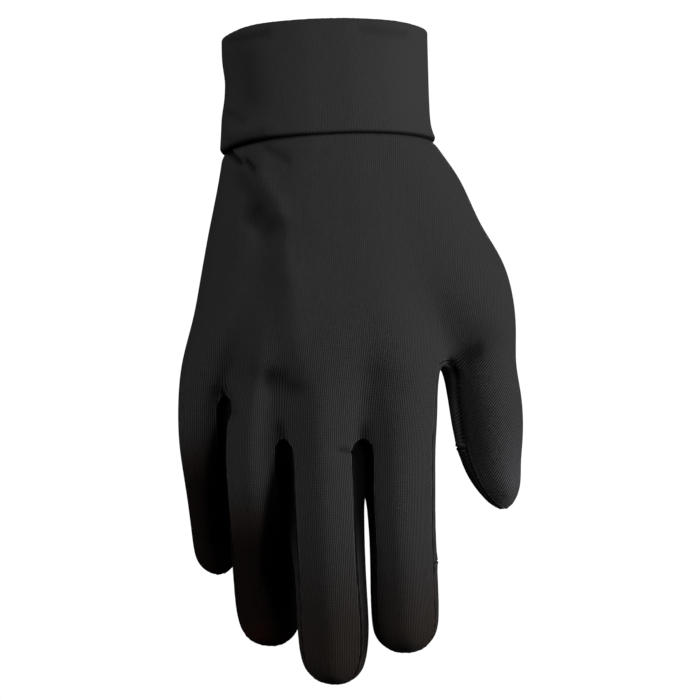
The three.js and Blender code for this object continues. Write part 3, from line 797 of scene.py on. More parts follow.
def read_grids(fields, u, v):
    """Values of the grids at any place on their quads, on smooth curves through the grids' points."""
    cells = fields.shape[1] - 1
    wide = np.pad(fields, ((0, 0), (1, 1), (1, 1), (0, 0)), mode="reflect", reflect_type="odd")
    i = np.minimum((u * cells).astype(int), cells - 1)
    j = np.minimum((v * cells).astype(int), cells - 1)
    down = cubic_weights(u * cells - i)
    over = cubic_weights(v * cells - j)
    quad = np.arange(len(fields))[:, None, None]
    value = 0
    for k in range(4):
        for n in range(4):
            value = value + (down[k] * over[n])[..., None] * wide[quad, i + k, j + n]
    return value


class Lattice:
    """A fine grid on every quad of the coarse net, with its cells crowded towards the seams."""

    def __init__(self, points, quads, panels):
        self.quads = quads
        self.panels = panels
        self.ends, self.edge_of_side, self.is_rim = edges_of(quads)
        self.is_seam = self.find_seams()
        self.u, self.v = self.places()
        self.numbers = self.number_points()

        points, grids = refined(points, quads)
        points = limit_points(points, cells_of(grids))
        self.smooth_grids = points[grids]
        self.points = np.empty((self.numbers.max() + 1, 3))
        self.points[self.numbers] = read_grids(self.smooth_grids, self.u, self.v)

    def find_seams(self):
        """An edge is a seam where its two quads are of different panels."""
        names = [set() for _ in self.ends]
        for sides, panel in zip(self.edge_of_side, self.panels):
            for edge in sides:
                names[edge].add(panel)
        return np.array([len(both) > 1 for both in names])

    def side_edges(self, k):
        """The edge on one side of each quad, and whether it runs the same way as the side does."""
        edge = self.edge_of_side[:, k]
        return edge, (self.ends[edge, 0] == self.quads[:, k])[:, None]

    def crowded(self):
        """Places along each edge, crowded towards the ends that lie on a seam or on the rim."""
        t = np.linspace(0, 1, CELLS + 1)
        near_start = t ** CROWDING
        near_end = 1 - near_start[::-1]
        near_both = np.where(t < 0.5, (2 * t) ** CROWDING, 2 - (2 - 2 * t).clip(0) ** CROWDING) / 2
        choices = [[t, near_end], [near_start, near_both]]
        is_edge = self.is_seam | self.is_rim
        marked = np.zeros(self.quads.max() + 1, int)
        marked[self.ends[is_edge].ravel()] = 1
        return np.array([
            t if along else choices[marked[a]][marked[b]]
            for (a, b), along in zip(self.ends.tolist(), is_edge)
        ])

    def places(self):
        """Place of every point of every grid on its quad: u down the quad and v across it."""
        crowded = self.crowded()
        sides = []
        for k in range(4):
            edge, forward = self.side_edges(k)
            sides.append(np.where(forward, crowded[edge], 1 - crowded[edge][:, ::-1]))
        left, right = sides[0], 1 - sides[2][:, ::-1]
        top, bottom = 1 - sides[3][:, ::-1], sides[1]
        down = ((left + right) / 2)[:, :, None]
        over = ((top + bottom) / 2)[:, None, :]
        u = left[:, :, None] * (1 - over) + right[:, :, None] * over
        v = top[:, None, :] * (1 - down) + bottom[:, None, :] * down
        return u, v

    def number_points(self):
        """Numbers of the points of every grid, the same on both sides of a shared edge."""
        count = self.quads.max() + 1
        inner = np.arange(1, CELLS)
        numbers = np.empty((len(self.quads), CELLS + 1, CELLS + 1), int)
        lines = []
        for k in range(4):
            edge, forward = self.side_edges(k)
            along = np.where(forward, inner, CELLS - inner) - 1
            lines.append(count + edge[:, None] * (CELLS - 1) + along)
        numbers[:, 1:-1, 0] = lines[0]
        numbers[:, -1, 1:-1] = lines[1]
        numbers[:, 1:-1, -1] = lines[2][:, ::-1]
        numbers[:, 0, 1:-1] = lines[3][:, ::-1]
        corners = [(0, 0), (-1, 0), (-1, -1), (0, -1)]
        for k, (i, j) in enumerate(corners):
            numbers[:, i, j] = self.quads[:, k]
        inside = np.arange(len(self.quads) * (CELLS - 1) ** 2)
        first = count + len(self.ends) * (CELLS - 1)
        numbers[:, 1:-1, 1:-1] = first + inside.reshape(-1, CELLS - 1, CELLS - 1)
        return numbers

    def edge_line(self, edge):
        """The fine points along a coarse edge, from its low end to its high end."""
        a, b = self.ends[edge]
        count = self.quads.max() + 1
        inner = count + edge * (CELLS - 1) + np.arange(CELLS - 1)
        return np.concatenate([[a], inner, [b]])


def seam_chains(ends, chosen):
    """The chosen edges joined into runs that end where three or more of them meet, or that close."""
    at = {}
    for edge in np.flatnonzero(chosen).tolist():
        for end in ends[edge].tolist():
            at.setdefault(end, []).append(edge)
    starts = [(end, edge) for end, edges in sorted(at.items()) if len(edges) != 2 for edge in edges]
    left = set(np.flatnonzero(chosen).tolist())
    chains = []
    while left:
        open_starts = [start for start in starts if start[1] in left]
        here, edge = open_starts[0] if open_starts else (int(ends[min(left)][0]), min(left))
        chain = []
        while edge is not None:
            left.remove(edge)
            a, b = ends[edge].tolist()
            chain.append((edge, here == a))
            here = b if here == a else a
            others = [other for other in at[here] if other in left]
            edge = others[0] if others and len(at[here]) == 2 else None
        chains.append(chain)
    return chains


class Seams:
    """The runs of the seams: points close together along each, with the length from the run's start."""

    def __init__(self, lattice, chosen, spacing=0.15):
        self.lines = []
        self.samples_of_edge = {}
        self.points = []
        self.lengths = []
        for chain in seam_chains(lattice.ends, chosen):
            numbers = []
            for edge, forward in chain:
                line = lattice.edge_line(edge)
                line = line if forward else line[::-1]
                numbers += list(line if not numbers else line[1:])
            places = lattice.points[numbers]
            lengths = np.concatenate([[0], np.cumsum(np.linalg.norm(np.diff(places, axis=0), axis=1))])
            self.lines.append((np.array(numbers), lengths))
            for n, (edge, _) in enumerate(chain):
                part = slice(n * CELLS, (n + 1) * CELLS + 1)
                fine = np.arange(lengths[part][0], lengths[part][-1] + spacing, spacing)
                fine = np.minimum(fine, lengths[part][-1])
                first = len(self.points)
                self.points += list(read_along(fine, lengths[part], places[part]))
                self.lengths += list(fine)
                self.samples_of_edge[edge] = range(first, len(self.points))
        self.points = np.array(self.points)
        self.lengths = np.array(self.lengths)

    def nearest(self, lattice):
        """Distance of every fine point from the nearest seam that its quad touches, and the place there."""
        far = 1e3
        distance = np.full(len(lattice.points), far)
        place = np.zeros(len(lattice.points))
        edges_at = {}
        for edge in self.samples_of_edge:
            for end in lattice.ends[edge]:
                edges_at.setdefault(int(end), set()).add(edge)
        for corners, numbers in zip(lattice.quads.tolist(), lattice.numbers):
            touching = sorted(set().union(*[edges_at.get(corner, set()) for corner in corners]))
            samples = [n for edge in touching for n in self.samples_of_edge[edge]]
            if not samples:
                continue
            tree = KDTree(len(samples))
            for n in samples:
                tree.insert(self.points[n], n)
            tree.balance()
            for n in numbers.ravel():
                _, sample, gap = tree.find(lattice.points[n])
                if gap < distance[n]:
                    distance[n] = gap
                    place[n] = self.lengths[sample]
        return distance, place


def pressed(points, normals):
    """The points with the hollows pressed into the back of the hand."""
    facing = np.maximum(-normals[:, 1], 0)
    depth = np.zeros(len(points))
    for row in HOLLOWS:
        hollow = dict(zip(HOLLOW_COLUMNS, row))
        direction = math.radians(hollow["direction"])
        dx, dz = points[:, 0] - hollow["x"], points[:, 2] - hollow["z"]
        along = (dx * math.cos(direction) + dz * math.sin(direction)) / hollow["half_length"]
        across = (dz * math.cos(direction) - dx * math.sin(direction)) / hollow["half_width"]
        depth += hollow["depth"] * facing * np.exp(-along ** 2 - across ** 2)
    return points - normals * depth[:, None]


def creased(points, normals):
    """The points with the creases pressed in and the ridges raised, each on the side it is seen from,
    and how much light the sides of each crease hold back from it, the more the steeper they are."""
    level = np.zeros(len(points))
    held = np.zeros(len(points))
    for row in CREASES:
        crease = dict(zip(CREASE_COLUMNS, row))
        angle = math.radians(crease["side"])
        right = np.array([math.cos(angle), math.sin(angle), 0])
        facing = np.array([math.sin(angle), -math.cos(angle), 0])
        start = np.array([crease["across"], crease["z"]])
        run = np.array([crease["to_across"], crease["to_z"]]) - start
        offset = np.stack([points @ right, points[:, 2]], axis=1) - start
        share = np.clip(offset @ run / (run @ run), 0, 1)[:, None]
        distance = np.linalg.norm(offset - share * run, axis=1)
        shown = smooth_share(normals @ facing, *FACING_CREASE) * bell(distance, crease["half_width"])
        level += crease["depth"] * shown
        steepness = CREASE_STEEPNESS * max(crease["depth"], 0) / crease["half_width"]
        held += (1 - math.exp(-steepness)) * shown
    return points - normals * level[:, None], np.minimum(held, 1)


def leaned(points):
    """The points with neighbouring fingers bulged towards each other until they touch."""
    moved = points.copy()
    z = points[:, 2]
    for row in CONTACTS:
        contact = dict(zip(CONTACT_COLUMNS, row))
        top, bottom = contact["top"], contact["bottom"]
        pair = FINGERS[contact["ray"]:contact["ray"] + 2]
        heights = np.linspace(bottom, top, CONTACT_STEPS)
        sections = [[section_at(finger, height) for finger in pair] for height in heights]
        middles = [(oval_point(first, 90) + oval_point(second, -90)) / 2 for first, second in sections]
        ways = [(second["centre"] - first["centre"])[:2] for first, second in sections]
        way = unit(read_along(z, heights, unit(np.array(ways))))
        offset = points[:, :2] - read_along(z, heights, middles)[:, :2]
        over = (offset * way).sum(axis=1)
        deep = offset[:, 1] * way[:, 0] - offset[:, 0] * way[:, 1]
        line = -contact["bias"] * np.tanh(deep / BIAS_DEPTH)
        share = smooth_share(-z, -top, CONTACT_COMES_IN - top)
        share *= 1 - smooth_share(-z, -bottom - CONTACT_FADES, -bottom)
        share *= (np.abs(over) < CONTACT_HALF_WIDTH) & (np.abs(deep) < CONTACT_HALF_DEPTH)
        share *= smooth_share(deep, *CONTACT_DEPTHS)
        sign = np.where(over < 0, 1, -1)
        own = -sign * over
        room = own + sign * line - CONTACT_GAP / 2
        bulge = CONTACT_BULGE * bell(own, BULGE_REACH)
        pushed = (bulge + room - np.sqrt((bulge - room) ** 2 + BULGE_SOFTNESS)) / 2
        moved[:, :2] += way * (sign * pushed * share)[:, None]
    return moved


def rolled(distance, radius):
    """How far a rolled edge lies below the cloth, at a distance from the edge."""
    inside = np.minimum(distance, radius)
    return radius - np.sqrt(radius ** 2 - (radius - inside) ** 2)


def wavering(points, size, seed):
    """Smooth noise between about -1 and 1 with bumps of the given size."""
    return np.array([noise.noise(Vector(point) / size + NOISE_SHIFT * seed) for point in points])


def reach(before, after):
    """Length between two named points of the net."""
    return np.linalg.norm(points[numbers[after]] - points[numbers[before]])


def side_pattern(middle, to_thumb, to_little):
    """Where the net's points lie on the flat cloth of the back or the palm: across the ribs from the
    middle finger's line, and along them from the wrist. The points of a finger's ring are given outward
    from its middle, on each side."""
    flat = np.zeros((len(points), 2))
    for ray in (2, 3, 4, 1, 0):
        way = 1 if ray > 2 else -1
        outward, inward = (to_thumb, to_little) if way > 0 else (to_little, to_thumb)
        beside = ray - way
        joined = PARTING_RINGS[min(ray, beside)] if ray != 2 else 0
        across = along = 0.0
        ring = 0
        while (ray, ring, middle) in numbers:
            centre = (ray, ring, middle)
            if ring:
                along -= reach((ray, ring - 1, middle), centre)
            if ring < joined:
                near, own = (beside, ring, outward[0]), (ray, ring, inward[0])
                across = flat[numbers[near], 0] + way * (reach(near, own) + reach(own, centre))
            flat[numbers[centre]] = across, along
            for sign, side in ((1, to_thumb), (-1, to_little)):
                place, last = across, centre
                for point in side:
                    here = (ray, ring, point)
                    if here not in numbers:
                        break
                    place += sign * reach(last, here)
                    flat[numbers[here]] = place, along
                    last = here
            ring += 1
        end = (ray, "tip")
        flat[numbers[end]] = across, along - reach((ray, ring - 1, middle), end)
    return flat


def strip_pattern(ray):
    """The same for the strip between a finger and the next, with its length measured from the crotch."""
    flat = np.zeros((len(points), 2))
    parting = PARTING_RINGS[ray]
    half_crotch = reach((ray, parting, 3), (ray + 1, parting, 7)) / 2
    for finger, back, side, palm, way in ((ray, 2, 3, 4, -1), (ray + 1, 0, 7, 6, 1)):
        along = way * half_crotch
        ring = parting
        while (finger, ring, side) in numbers:
            middle = (finger, ring, side)
            if ring > parting:
                along += way * reach((finger, ring - 1, side), middle)
            flat[numbers[middle]] = 0, along
            for point, sign in ((back, -1), (palm, 1)):
                flat[numbers[finger, ring, point]] = sign * reach(middle, (finger, ring, point)), along
            ring += 1
        flat[numbers[finger, "tip"]] = 0, along + way * reach((finger, ring - 1, side), (finger, "tip"))
    return flat


def spread_pattern(lattice, chosen, flat):
    """A pattern of the net's points, smoothed and read at every point of the panel's grids."""
    used, local = np.unique(quads[chosen], return_inverse=True)
    values, grids = refined(flat[used], local.reshape(-1, 4))
    return read_grids(values[grids], lattice.u[chosen], lattice.v[chosen])


def band_pattern(lattice, chosen):
    """The pattern of the cuff band: round the wrist, starting inside the palm, and up it."""

    def angle_of(places):
        return np.arctan2(places[..., 0], -places[..., 1] - places[..., 2] * BAND_LEAN)

    places = lattice.points[lattice.numbers[chosen]]
    angle = angle_of(places)
    middle = angle_of(lattice.smooth_grids[chosen].mean(axis=(1, 2)))[:, None, None]
    angle -= 2 * math.pi * np.round((angle - middle) / (2 * math.pi))
    return np.stack([angle * BAND_RADIUS, places[..., 2]], axis=-1)


def linear(colour):
    """An sRGB hex colour as the linear colour that the shaders take."""
    parts = [int(colour[n:n + 2], 16) / 255 for n in (1, 3, 5)]
    return [c / 12.92 if c <= 0.04045 else ((c + 0.055) / 1.055) ** 2.4 for c in parts] + [1]


def empty_tree(owner):
    """The node tree of a material or of the world, with nothing in it."""
    owner.use_nodes = True
    owner.node_tree.nodes.clear()
    return owner.node_tree


def add_node(tree, kind, inputs=None, **settings):
    """Adds a node. inputs gives each named socket a value, or another node's output to link to."""
    made = tree.nodes.new(kind)
    for setting, value in settings.items():
        setattr(made, setting, value)
    for socket, value in (inputs or {}).items():
        if isinstance(value, bpy.types.NodeSocket):
            tree.links.new(value, made.inputs[socket])
        else:
            made.inputs[socket].default_value = value
    return made


def loop_sums(result, width, length, rib):
    """Sums for the height of the knitted loops: a rounded rib, with V-shaped rows across it."""
    return [
        ("ribs", "DIVIDE", width, rib),
        ("place", "FRACT", "ribs"),
        ("place", "MULTIPLY_ADD", "place", 2.0, -1.0),
        ("off_middle", "ABSOLUTE", "place"),
        ("drop", "MULTIPLY", "off_middle", "off_middle"),
        ("hump", "SUBTRACT", 1.0, "drop"),
        ("rows", "DIVIDE", length, ROW_PITCH),
        ("rows", "MULTIPLY_ADD", "off_middle", LOOP_SLANT, "rows"),
        ("turn", "MULTIPLY", "rows", 2 * math.pi),
        ("wave", "SINE", "turn"),
        ("wave", "MULTIPLY_ADD", "wave", ROW_RELIEF, 1 - ROW_RELIEF),
        (result, "MULTIPLY", "hump", "wave"),
    ]


def jersey(name, colours, rib_depth, rib_shade, sheen):
    """Polyester single jersey, black from its dye: fine upright ribs of linked loops, matt, with a soft bloom
    of loose filament ends that catches light near the outline. The first colour is the hand's, and any others
    follow it down the fingers as painted shade, darker and warmer, with a fourth one as a painted warm glow
    at the very ends. The sums below each make a value out of named ones before them."""
    material = bpy.data.materials.new(name)
    tree = empty_tree(material)
    pattern = add_node(tree, "ShaderNodeUVMap", uv_map="cloth")
    parts = add_node(tree, "ShaderNodeSeparateXYZ", {0: pattern.outputs["UV"]})
    values = {"x": parts.outputs["X"], "y": parts.outputs["Y"]}
    for shade in ("bias", "tip", "held", "painted_light", "opened"):
        values[shade] = add_node(tree, "ShaderNodeAttribute", attribute_name=shade).outputs["Fac"]
    for grain, (size, detail) in GRAINS.items():
        bumps = add_node(tree, "ShaderNodeTexNoise", {"Scale": 1 / (size * MM), "Detail": detail})
        values[grain] = bumps.outputs["Fac"]
    values["strength"] = add_node(tree, "ShaderNodeMapRange", {
        "Value": values["patches"], "From Min": PATCH_RANGE[0], "From Max": PATCH_RANGE[1],
        "To Min": WORN_RELIEF, "To Max": 1.0,
    }).outputs[0]
    sums = [
        ("across", "MULTIPLY", "x", PATTERN_UNIT),
        ("along", "MULTIPLY", "y", PATTERN_UNIT),
        *loop_sums("upright", "across", "along", RIB_PITCH),
        ("turned", "SUBTRACT", "across", "along"),
        ("turned", "MULTIPLY", "turned", math.sqrt(0.5)),
        ("turned_along", "ADD", "along", "across"),
        ("turned_along", "MULTIPLY", "turned_along", math.sqrt(0.5)),
        *loop_sums("diagonal", "turned", "turned_along", BIAS_PITCH),
        ("turning", "SUBTRACT", "diagonal", "upright"),
        ("height", "MULTIPLY_ADD", "turning", "bias", "upright"),
        ("ribs", "MULTIPLY", "height", "strength"),
        ("cloth", "MULTIPLY_ADD", "fuzz", FUZZ_RISE, "ribs"),
        ("lit", "SUBTRACT", 1.0, "held"),
        ("lit", "MAXIMUM", "lit", LEAST_SHADE),
        ("contrast", "MULTIPLY_ADD", "opened", OPENED_CONTRAST, rib_shade),
        ("mean", "MULTIPLY_ADD", "opened", OPENED_SHADE, MEAN_SHADE),
        ("above_mean", "SUBTRACT", "height", MEAN_HEIGHT),
        ("shade", "MULTIPLY_ADD", "above_mean", "contrast", "mean"),
        ("shade", "MAXIMUM", "shade", LEAST_SHADE),
        ("shade", "MULTIPLY", "shade", "lit"),
        # Painted light on the seam ridges and beside the thumb
        ("gain", "MULTIPLY_ADD", "painted_light", PAINTED_LIGHT_GAIN, 1.0),
        ("shade", "MULTIPLY", "shade", "gain"),
        ("gain", "MULTIPLY_ADD", "patches", *PATCH_SHADES),
        ("shade", "MULTIPLY", "shade", "gain"),
        ("gain", "MULTIPLY_ADD", "specks", *SPECK_SHADES),
        ("shade", "MULTIPLY", "shade", "gain"),
        # Less gloss and bloom at the tips and where light is held back: painted shade
        ("gloss", "MULTIPLY_ADD", "tip", -TIP_GLOSS_LOSS, GLOSS),
        ("gloss", "MULTIPLY", "lit", "gloss"),
        ("bloom", "MULTIPLY_ADD", "tip", -TIP_BLOOM_LOSS * sheen, sheen),
        ("bloom", "MULTIPLY", "lit", "bloom"),
    ]
    for result, operation, *terms in sums:
        inputs = {n: values.get(term, term) for n, term in enumerate(terms)}
        values[result] = add_node(tree, "ShaderNodeMath", inputs, operation=operation).outputs[0]

    bump = add_node(tree, "ShaderNodeBump", {
        "Height": values["cloth"], "Distance": rib_depth * MM, "Strength": 1.0,
    })
    # The colour ramp paints shade down the fingertips, darker and warmer, and a warm glow at the very ends
    tip_shaded_colours = add_node(tree, "ShaderNodeValToRGB", {0: values["tip"]})
    stops = tip_shaded_colours.color_ramp.elements
    stops.remove(stops[1])
    stops[0].color = linear(colours[0])
    for place, colour in zip(COLOUR_STOPS[1:], colours[1:]):
        stops.new(place).color = linear(colour)
    tone = add_node(
        tree, "ShaderNodeMix", {0: 1.0, 6: tip_shaded_colours.outputs[0], 7: values["shade"]},
        data_type="RGBA", blend_type="MULTIPLY",
    )
    surface = add_node(tree, "ShaderNodeBsdfPrincipled", {
        "Base Color": tone.outputs[2],
        "Normal": bump.outputs[0],
        "Roughness": 0.82,
        "IOR": 1.5,
        "Specular IOR Level": values["gloss"],
        "Sheen Weight": values["bloom"],
        "Sheen Roughness": 0.45,
        "Sheen Tint": linear("#9a9a9e"),
    })
    add_node(tree, "ShaderNodeOutputMaterial", {"Surface": surface.outputs[0]})
    return material


def sewing_thread():
    """Spun polyester thread, twisted from two plies: a little smoother than the cloth, so that each stitch
    shows as a fine bead."""
    material = bpy.data.materials.new("spun_polyester_thread")
    tree = empty_tree(material)
    twist = add_node(tree, "ShaderNodeTexNoise", {"Scale": 1 / (TWIST_SIZE * MM), "Detail": 1.0})
    bump = add_node(tree, "ShaderNodeBump", {"Height": twist.outputs["Fac"], "Distance": TWIST_RISE * MM})
    tone = add_node(tree, "ShaderNodeValToRGB", {0: twist.outputs["Fac"]})
    for stop, colour in zip(tone.color_ramp.elements, ("#1c1b1b", "#3b3a3a")):
        stop.color = linear(colour)
    surface = add_node(tree, "ShaderNodeBsdfPrincipled", {
        "Base Color": tone.outputs[0],
        "Normal": bump.outputs[0],
        "Roughness": 0.6,
        "IOR": 1.5,
        "Sheen Weight": 0.2,
    })
    add_node(tree, "ShaderNodeOutputMaterial", {"Surface": surface.outputs[0]})
    return material


def add_object(name, data):
    """Puts a mesh, a lamp or a camera in the scene."""
    added = bpy.data.objects.new(name, data)
    bpy.context.collection.objects.link(added)
    return added


def finish_piece(name, mesh, material, nodes=()):
    """Puts a mesh in the scene as a piece of the glove."""
    mesh.materials.append(material)
    mesh.shade_smooth()
    piece = add_object(name, mesh)
    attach(piece, "root")
    if nodes:
        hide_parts(*nodes)


points, quads, panels, numbers = glove_net()
lattice = Lattice(fitted(points, quads), quads, panels)
every_cell = cells_of(lattice.numbers)
body = pressed(lattice.points, surface_normals(lattice.points, every_cell))
body, held_in_creases = creased(body, surface_normals(body, every_cell))
body = leaned(body)
body_normals = surface_normals(body, every_cell)
across, down = body[:, 0], -body[:, 2]
facing_back = -body_normals[:, 1]


def edges_touching(chosen):
    """Which edges of the net the chosen quads have."""
    touched = np.zeros(len(lattice.ends), bool)
    touched[lattice.edge_of_side[chosen].ravel()] = True
    return touched


is_cuff = panels == "cuff_band"
cuff_seam = lattice.is_seam & edges_touching(is_cuff) & edges_touching(~is_cuff)
cuff_gap, _ = Seams(lattice, cuff_seam).nearest(lattice)
rim_gap, _ = Seams(lattice, lattice.is_rim).nearest(lattice)
hand_seams = Seams(lattice, lattice.is_seam & ~cuff_seam)
seam_gap, seam_place = hand_seams.nearest(lattice)

ripple = wavering(body, PUCKER_SIZE, 1)
drape = wavering(body, DRAPE_SIZE, 2)
thicker_cuff = smooth_share(-across, *CUFF_GETS_THICKER)


def hand_levels(node):
    """How far the outer and inner faces of the hand's panels lie above the body of the glove. A strip
    between two fingers dips just inside its seams, where the fingers leave it room."""
    pinch = 1 - STITCH_PINCH * (0.5 - 0.5 * np.cos(seam_place * 2 * math.pi / STITCH_PITCH))
    outer = -rolled(seam_gap, SEAM_ROLL)
    outer += RIDGE_RISE * pinch * bell(seam_gap - RIDGE_AT, RIDGE_HALF_WIDTH)
    outer += ALLOWANCE_RISE * bell(seam_gap - ALLOWANCE_WIDTH / 2, ALLOWANCE_WIDTH / 2)
    outer += PUCKER_RISE * ripple * np.exp(-seam_gap / PUCKER_REACH) + DRAPE_RISE * drape
    dip, fade_start, fade_end = STRIP_DIPS.get(node, (0.0, 0, -1))
    dip = dip * (1 - smooth_share(down, -fade_start, -fade_end))
    outer -= dip * smooth_share(seam_gap, *DIP_COMES_IN) * (1 - smooth_share(seam_gap, *DIP_FADES))
    outer -= CUFF_TUCK * bell(cuff_gap, TUCK_REACH)
    inner = np.minimum(outer, 0) - WALL + rolled(seam_gap, SEAM_ROLL) * INNER_ROLL_SHARE
    return outer, inner


def cuff_levels():
    """The same for the cuff, which is rolled at its rim and over its seam."""
    half = CUFF_WALL / 2
    middle = CUFF_PROUD - half
    rim = np.sqrt(1 - (1 - np.minimum(rim_gap / half, 1)) ** 2)
    outer = middle + half * rim + CUFF_DRAPE_RISE * drape
    outer += CUFF_PUCKER_RISE * ripple * np.exp(-cuff_gap / CUFF_PUCKER_REACH)
    outer -= rolled(cuff_gap, CUFF_ROLL + CUFF_ROLL_GAIN * thicker_cuff)
    return outer, middle - half * rim


def shares_of_fingers():
    """How much each point belongs to the little finger, to the ring finger and to the others."""
    line = RING_LINE["across"] + RING_LINE["slope"] * (down - RING_LINE["down"])
    past_little = smooth_share(across - line, -RING_LINE["half_width"], RING_LINE["half_width"])
    past_ring = smooth_share(across, *MIDDLE_STARTS)
    return np.array([1 - past_little, past_little - past_ring, past_ring])


finger_shares = shares_of_fingers()


def shaded_by_neighbour():
    """How much the next finger shades the backs of the little and the ring finger on its side."""
    shaded = 0
    for shade, share in zip(NEIGHBOUR_SHADES, finger_shares):
        edge = np.interp(down, shade["down"], shade["edge"])
        comes_in = smooth_share(down, *shade["comes_in"]) * (1 - smooth_share(down, *shade["fades"]))
        shaded = shaded + smooth_share(across, edge - shade["width"], edge) * comes_in * share
    return NEIGHBOUR_SHADE * shaded * smooth_share(facing_back, *FACING_SHADE)


def looks_of(node):
    """What the jersey's material reads at each point of a panel: how much painted shade, dark and warm, a
    fingertip gets, how much light is held back as painted shade, how much painted light brightens the cloth,
    how far the ribs are drawn open, and where they run diagonally."""
    # The fingertips' darker, warmer colour is painted shade of the fingers that curl under, stronger where
    # the cloth faces the back.
    warm = dict(zip(TIP_SHADE_COLUMNS, np.transpose(TIP_PAINTED_SHADE) @ finger_shares))
    start = warm["start"]
    tip = (1 - TIP_PAINTED_GLOW_SHARE) * smooth_share(down, start, start + warm["length"])
    # The last share of the tip value is a painted warm glow at the very ends of the fingers.
    tip += TIP_PAINTED_GLOW_SHARE * smooth_share(down, start + TIP_PAINTED_GLOW[0], start + TIP_PAINTED_GLOW[1])
    tip *= warm["strength"] * (TIP_SHADE_ON_PALM + (1 - TIP_SHADE_ON_PALM) * smooth_share(facing_back, *FACING_TIP_SHADE))

    by_cuff = CUFF_SHADE + (1 - CUFF_SHADE) * thicker_cuff
    let_through = [
        1 - CREASE_SHADE * held_in_creases,
        1 - SEAM_SHADE * bell(seam_gap, SEAM_SHADE_REACH),
        1 - by_cuff * bell(cuff_gap, CUFF_SHADE_REACH * (1 + thicker_cuff)),
        1 - shaded_by_neighbour(),
    ]
    if node.startswith("fourchette"):
        let_through.append(CROTCH_LIGHT + (1 - CROTCH_LIGHT) * smooth_share(down, *CROTCH_ENDS))

    # A painted highlight along the ridges beside the seams, and painted light on two places by the thumb
    painted_light = (RIDGE_PAINTED_HIGHLIGHT + RIDGE_HIGHLIGHT_SPREAD * ripple).clip(0, 1)
    painted_light = painted_light * bell(seam_gap - RIDGE_AT, RIDGE_HIGHLIGHT_HALF_WIDTH)
    # Painted light on the gusset strip and on the thumb's end
    if node in PAINTED_LIGHT_PLACES:
        down_range, across_range, amount = PAINTED_LIGHT_PLACES[node]
        painted_light += amount * smooth_share(down, *down_range) * smooth_share(across, *across_range)

    on_thumb = smooth_share(across, *ON_THUMB)
    opened = OPENED_DOWN_SHARE * smooth_share(down, *OPENED_DOWN) + (1 - OPENED_DOWN_SHARE) * on_thumb
    return {
        "held": 1 - np.prod(let_through, axis=0),
        "painted_light": painted_light,
        "tip": tip,
        "bias": on_thumb * smooth_share(down, *DIAGONAL_DOWN),
        "opened": opened * (1 if node == "back_panel" else OPENED_ELSEWHERE),
    }


def sewn_panel(node, levels, pattern, material):
    """One panel of cloth as a closed shell with an outer face, an inner face and edges between."""
    grids = lattice.numbers[panels == node]
    cells = cells_of(grids)
    used, local = np.unique(cells, return_inverse=True)
    local = local.reshape(cells.shape)
    count = len(used)
    sheets = [body[used] + body_normals[used] * level[used, None] for level in levels]

    sides = np.stack([local, np.roll(local, -1, axis=1)], axis=2).reshape(-1, 2)
    keys = sides[:, 0] * count + sides[:, 1]
    back_keys = sides[:, 1] * count + sides[:, 0]
    a, b = sides[~np.isin(keys, back_keys)].T
    edge_faces = np.stack([b, a, a + count, b + count], axis=1)
    faces = np.concatenate([local, local[:, ::-1] + count, edge_faces])
    mesh = bpy.data.meshes.new(node + "_cloth")
    mesh.from_pydata(np.concatenate(sheets) * MM, [], faces.tolist())

    flat = cells_of(np.arange(grids.size).reshape(grids.shape))
    pattern_at = pattern.reshape(-1, 2)[flat] / PATTERN_UNIT
    flat_of_point = np.empty((count, 2))
    flat_of_point[local.ravel()] = pattern_at.reshape(-1, 2)
    loops = np.concatenate([
        pattern_at.reshape(-1, 2),
        pattern_at[:, ::-1].reshape(-1, 2),
        flat_of_point[np.stack([b, a, a, b], axis=1).ravel()],
    ])
    mesh.uv_layers.new(name="cloth").uv.foreach_set("vector", loops.ravel())
    for look, values in looks_of(node).items():
        stored = mesh.attributes.new(look, "FLOAT", "POINT")
        stored.data.foreach_set("value", np.tile(values[used], 2))
    mesh.validate()
    finish_piece(node + "_cloth", mesh, material, [node])


def stitches(name, seams, material):
    """Short bars of thread that bridge a seam, sunk into its groove."""
    sides, rings = 6, 5
    verts, faces = [], []
    for numbers, lengths in seams.lines:
        places = np.arange(STITCH_PITCH / 2, lengths[-1], STITCH_PITCH)
        centres = read_along(places, lengths, body[numbers])
        normals = unit(read_along(places, lengths, body_normals[numbers]))
        ahead = read_along(places + STITCH_SPAN, lengths, body[numbers])
        behind = read_along(places - STITCH_SPAN, lengths, body[numbers])
        for here, normal, run in zip(centres, normals, unit(ahead - behind)):
            over = np.cross(normal, run)
            first = len(verts)
            for ring in range(rings):
                t = ring / (rings - 1) * 2 - 1
                centre = here + over * t * STITCH_REACH + run * t * STITCH_RUN
                centre = centre - normal * (STITCH_DEPTH - STITCH_END_RISE * t * t)
                size = THREAD_RADIUS * math.sqrt(max(1 - t ** 4, THREAD_END))
                for side in range(sides):
                    angle = 2 * math.pi * side / sides
                    verts.append(centre + (run * math.cos(angle) + normal * math.sin(angle)) * size)
            for ring in range(rings - 1):
                for side in range(sides):
                    a = first + ring * sides + side
                    b = first + ring * sides + (side + 1) % sides
                    faces.append([a, b, b + sides, a + sides])
            faces.append([first + side for side in reversed(range(sides))])
            faces.append([first + (rings - 1) * sides + side for side in range(sides)])
    mesh = bpy.data.meshes.new(name)
    mesh.from_pydata(np.array(verts) * MM, [], faces)
    finish_piece(name, mesh, material)


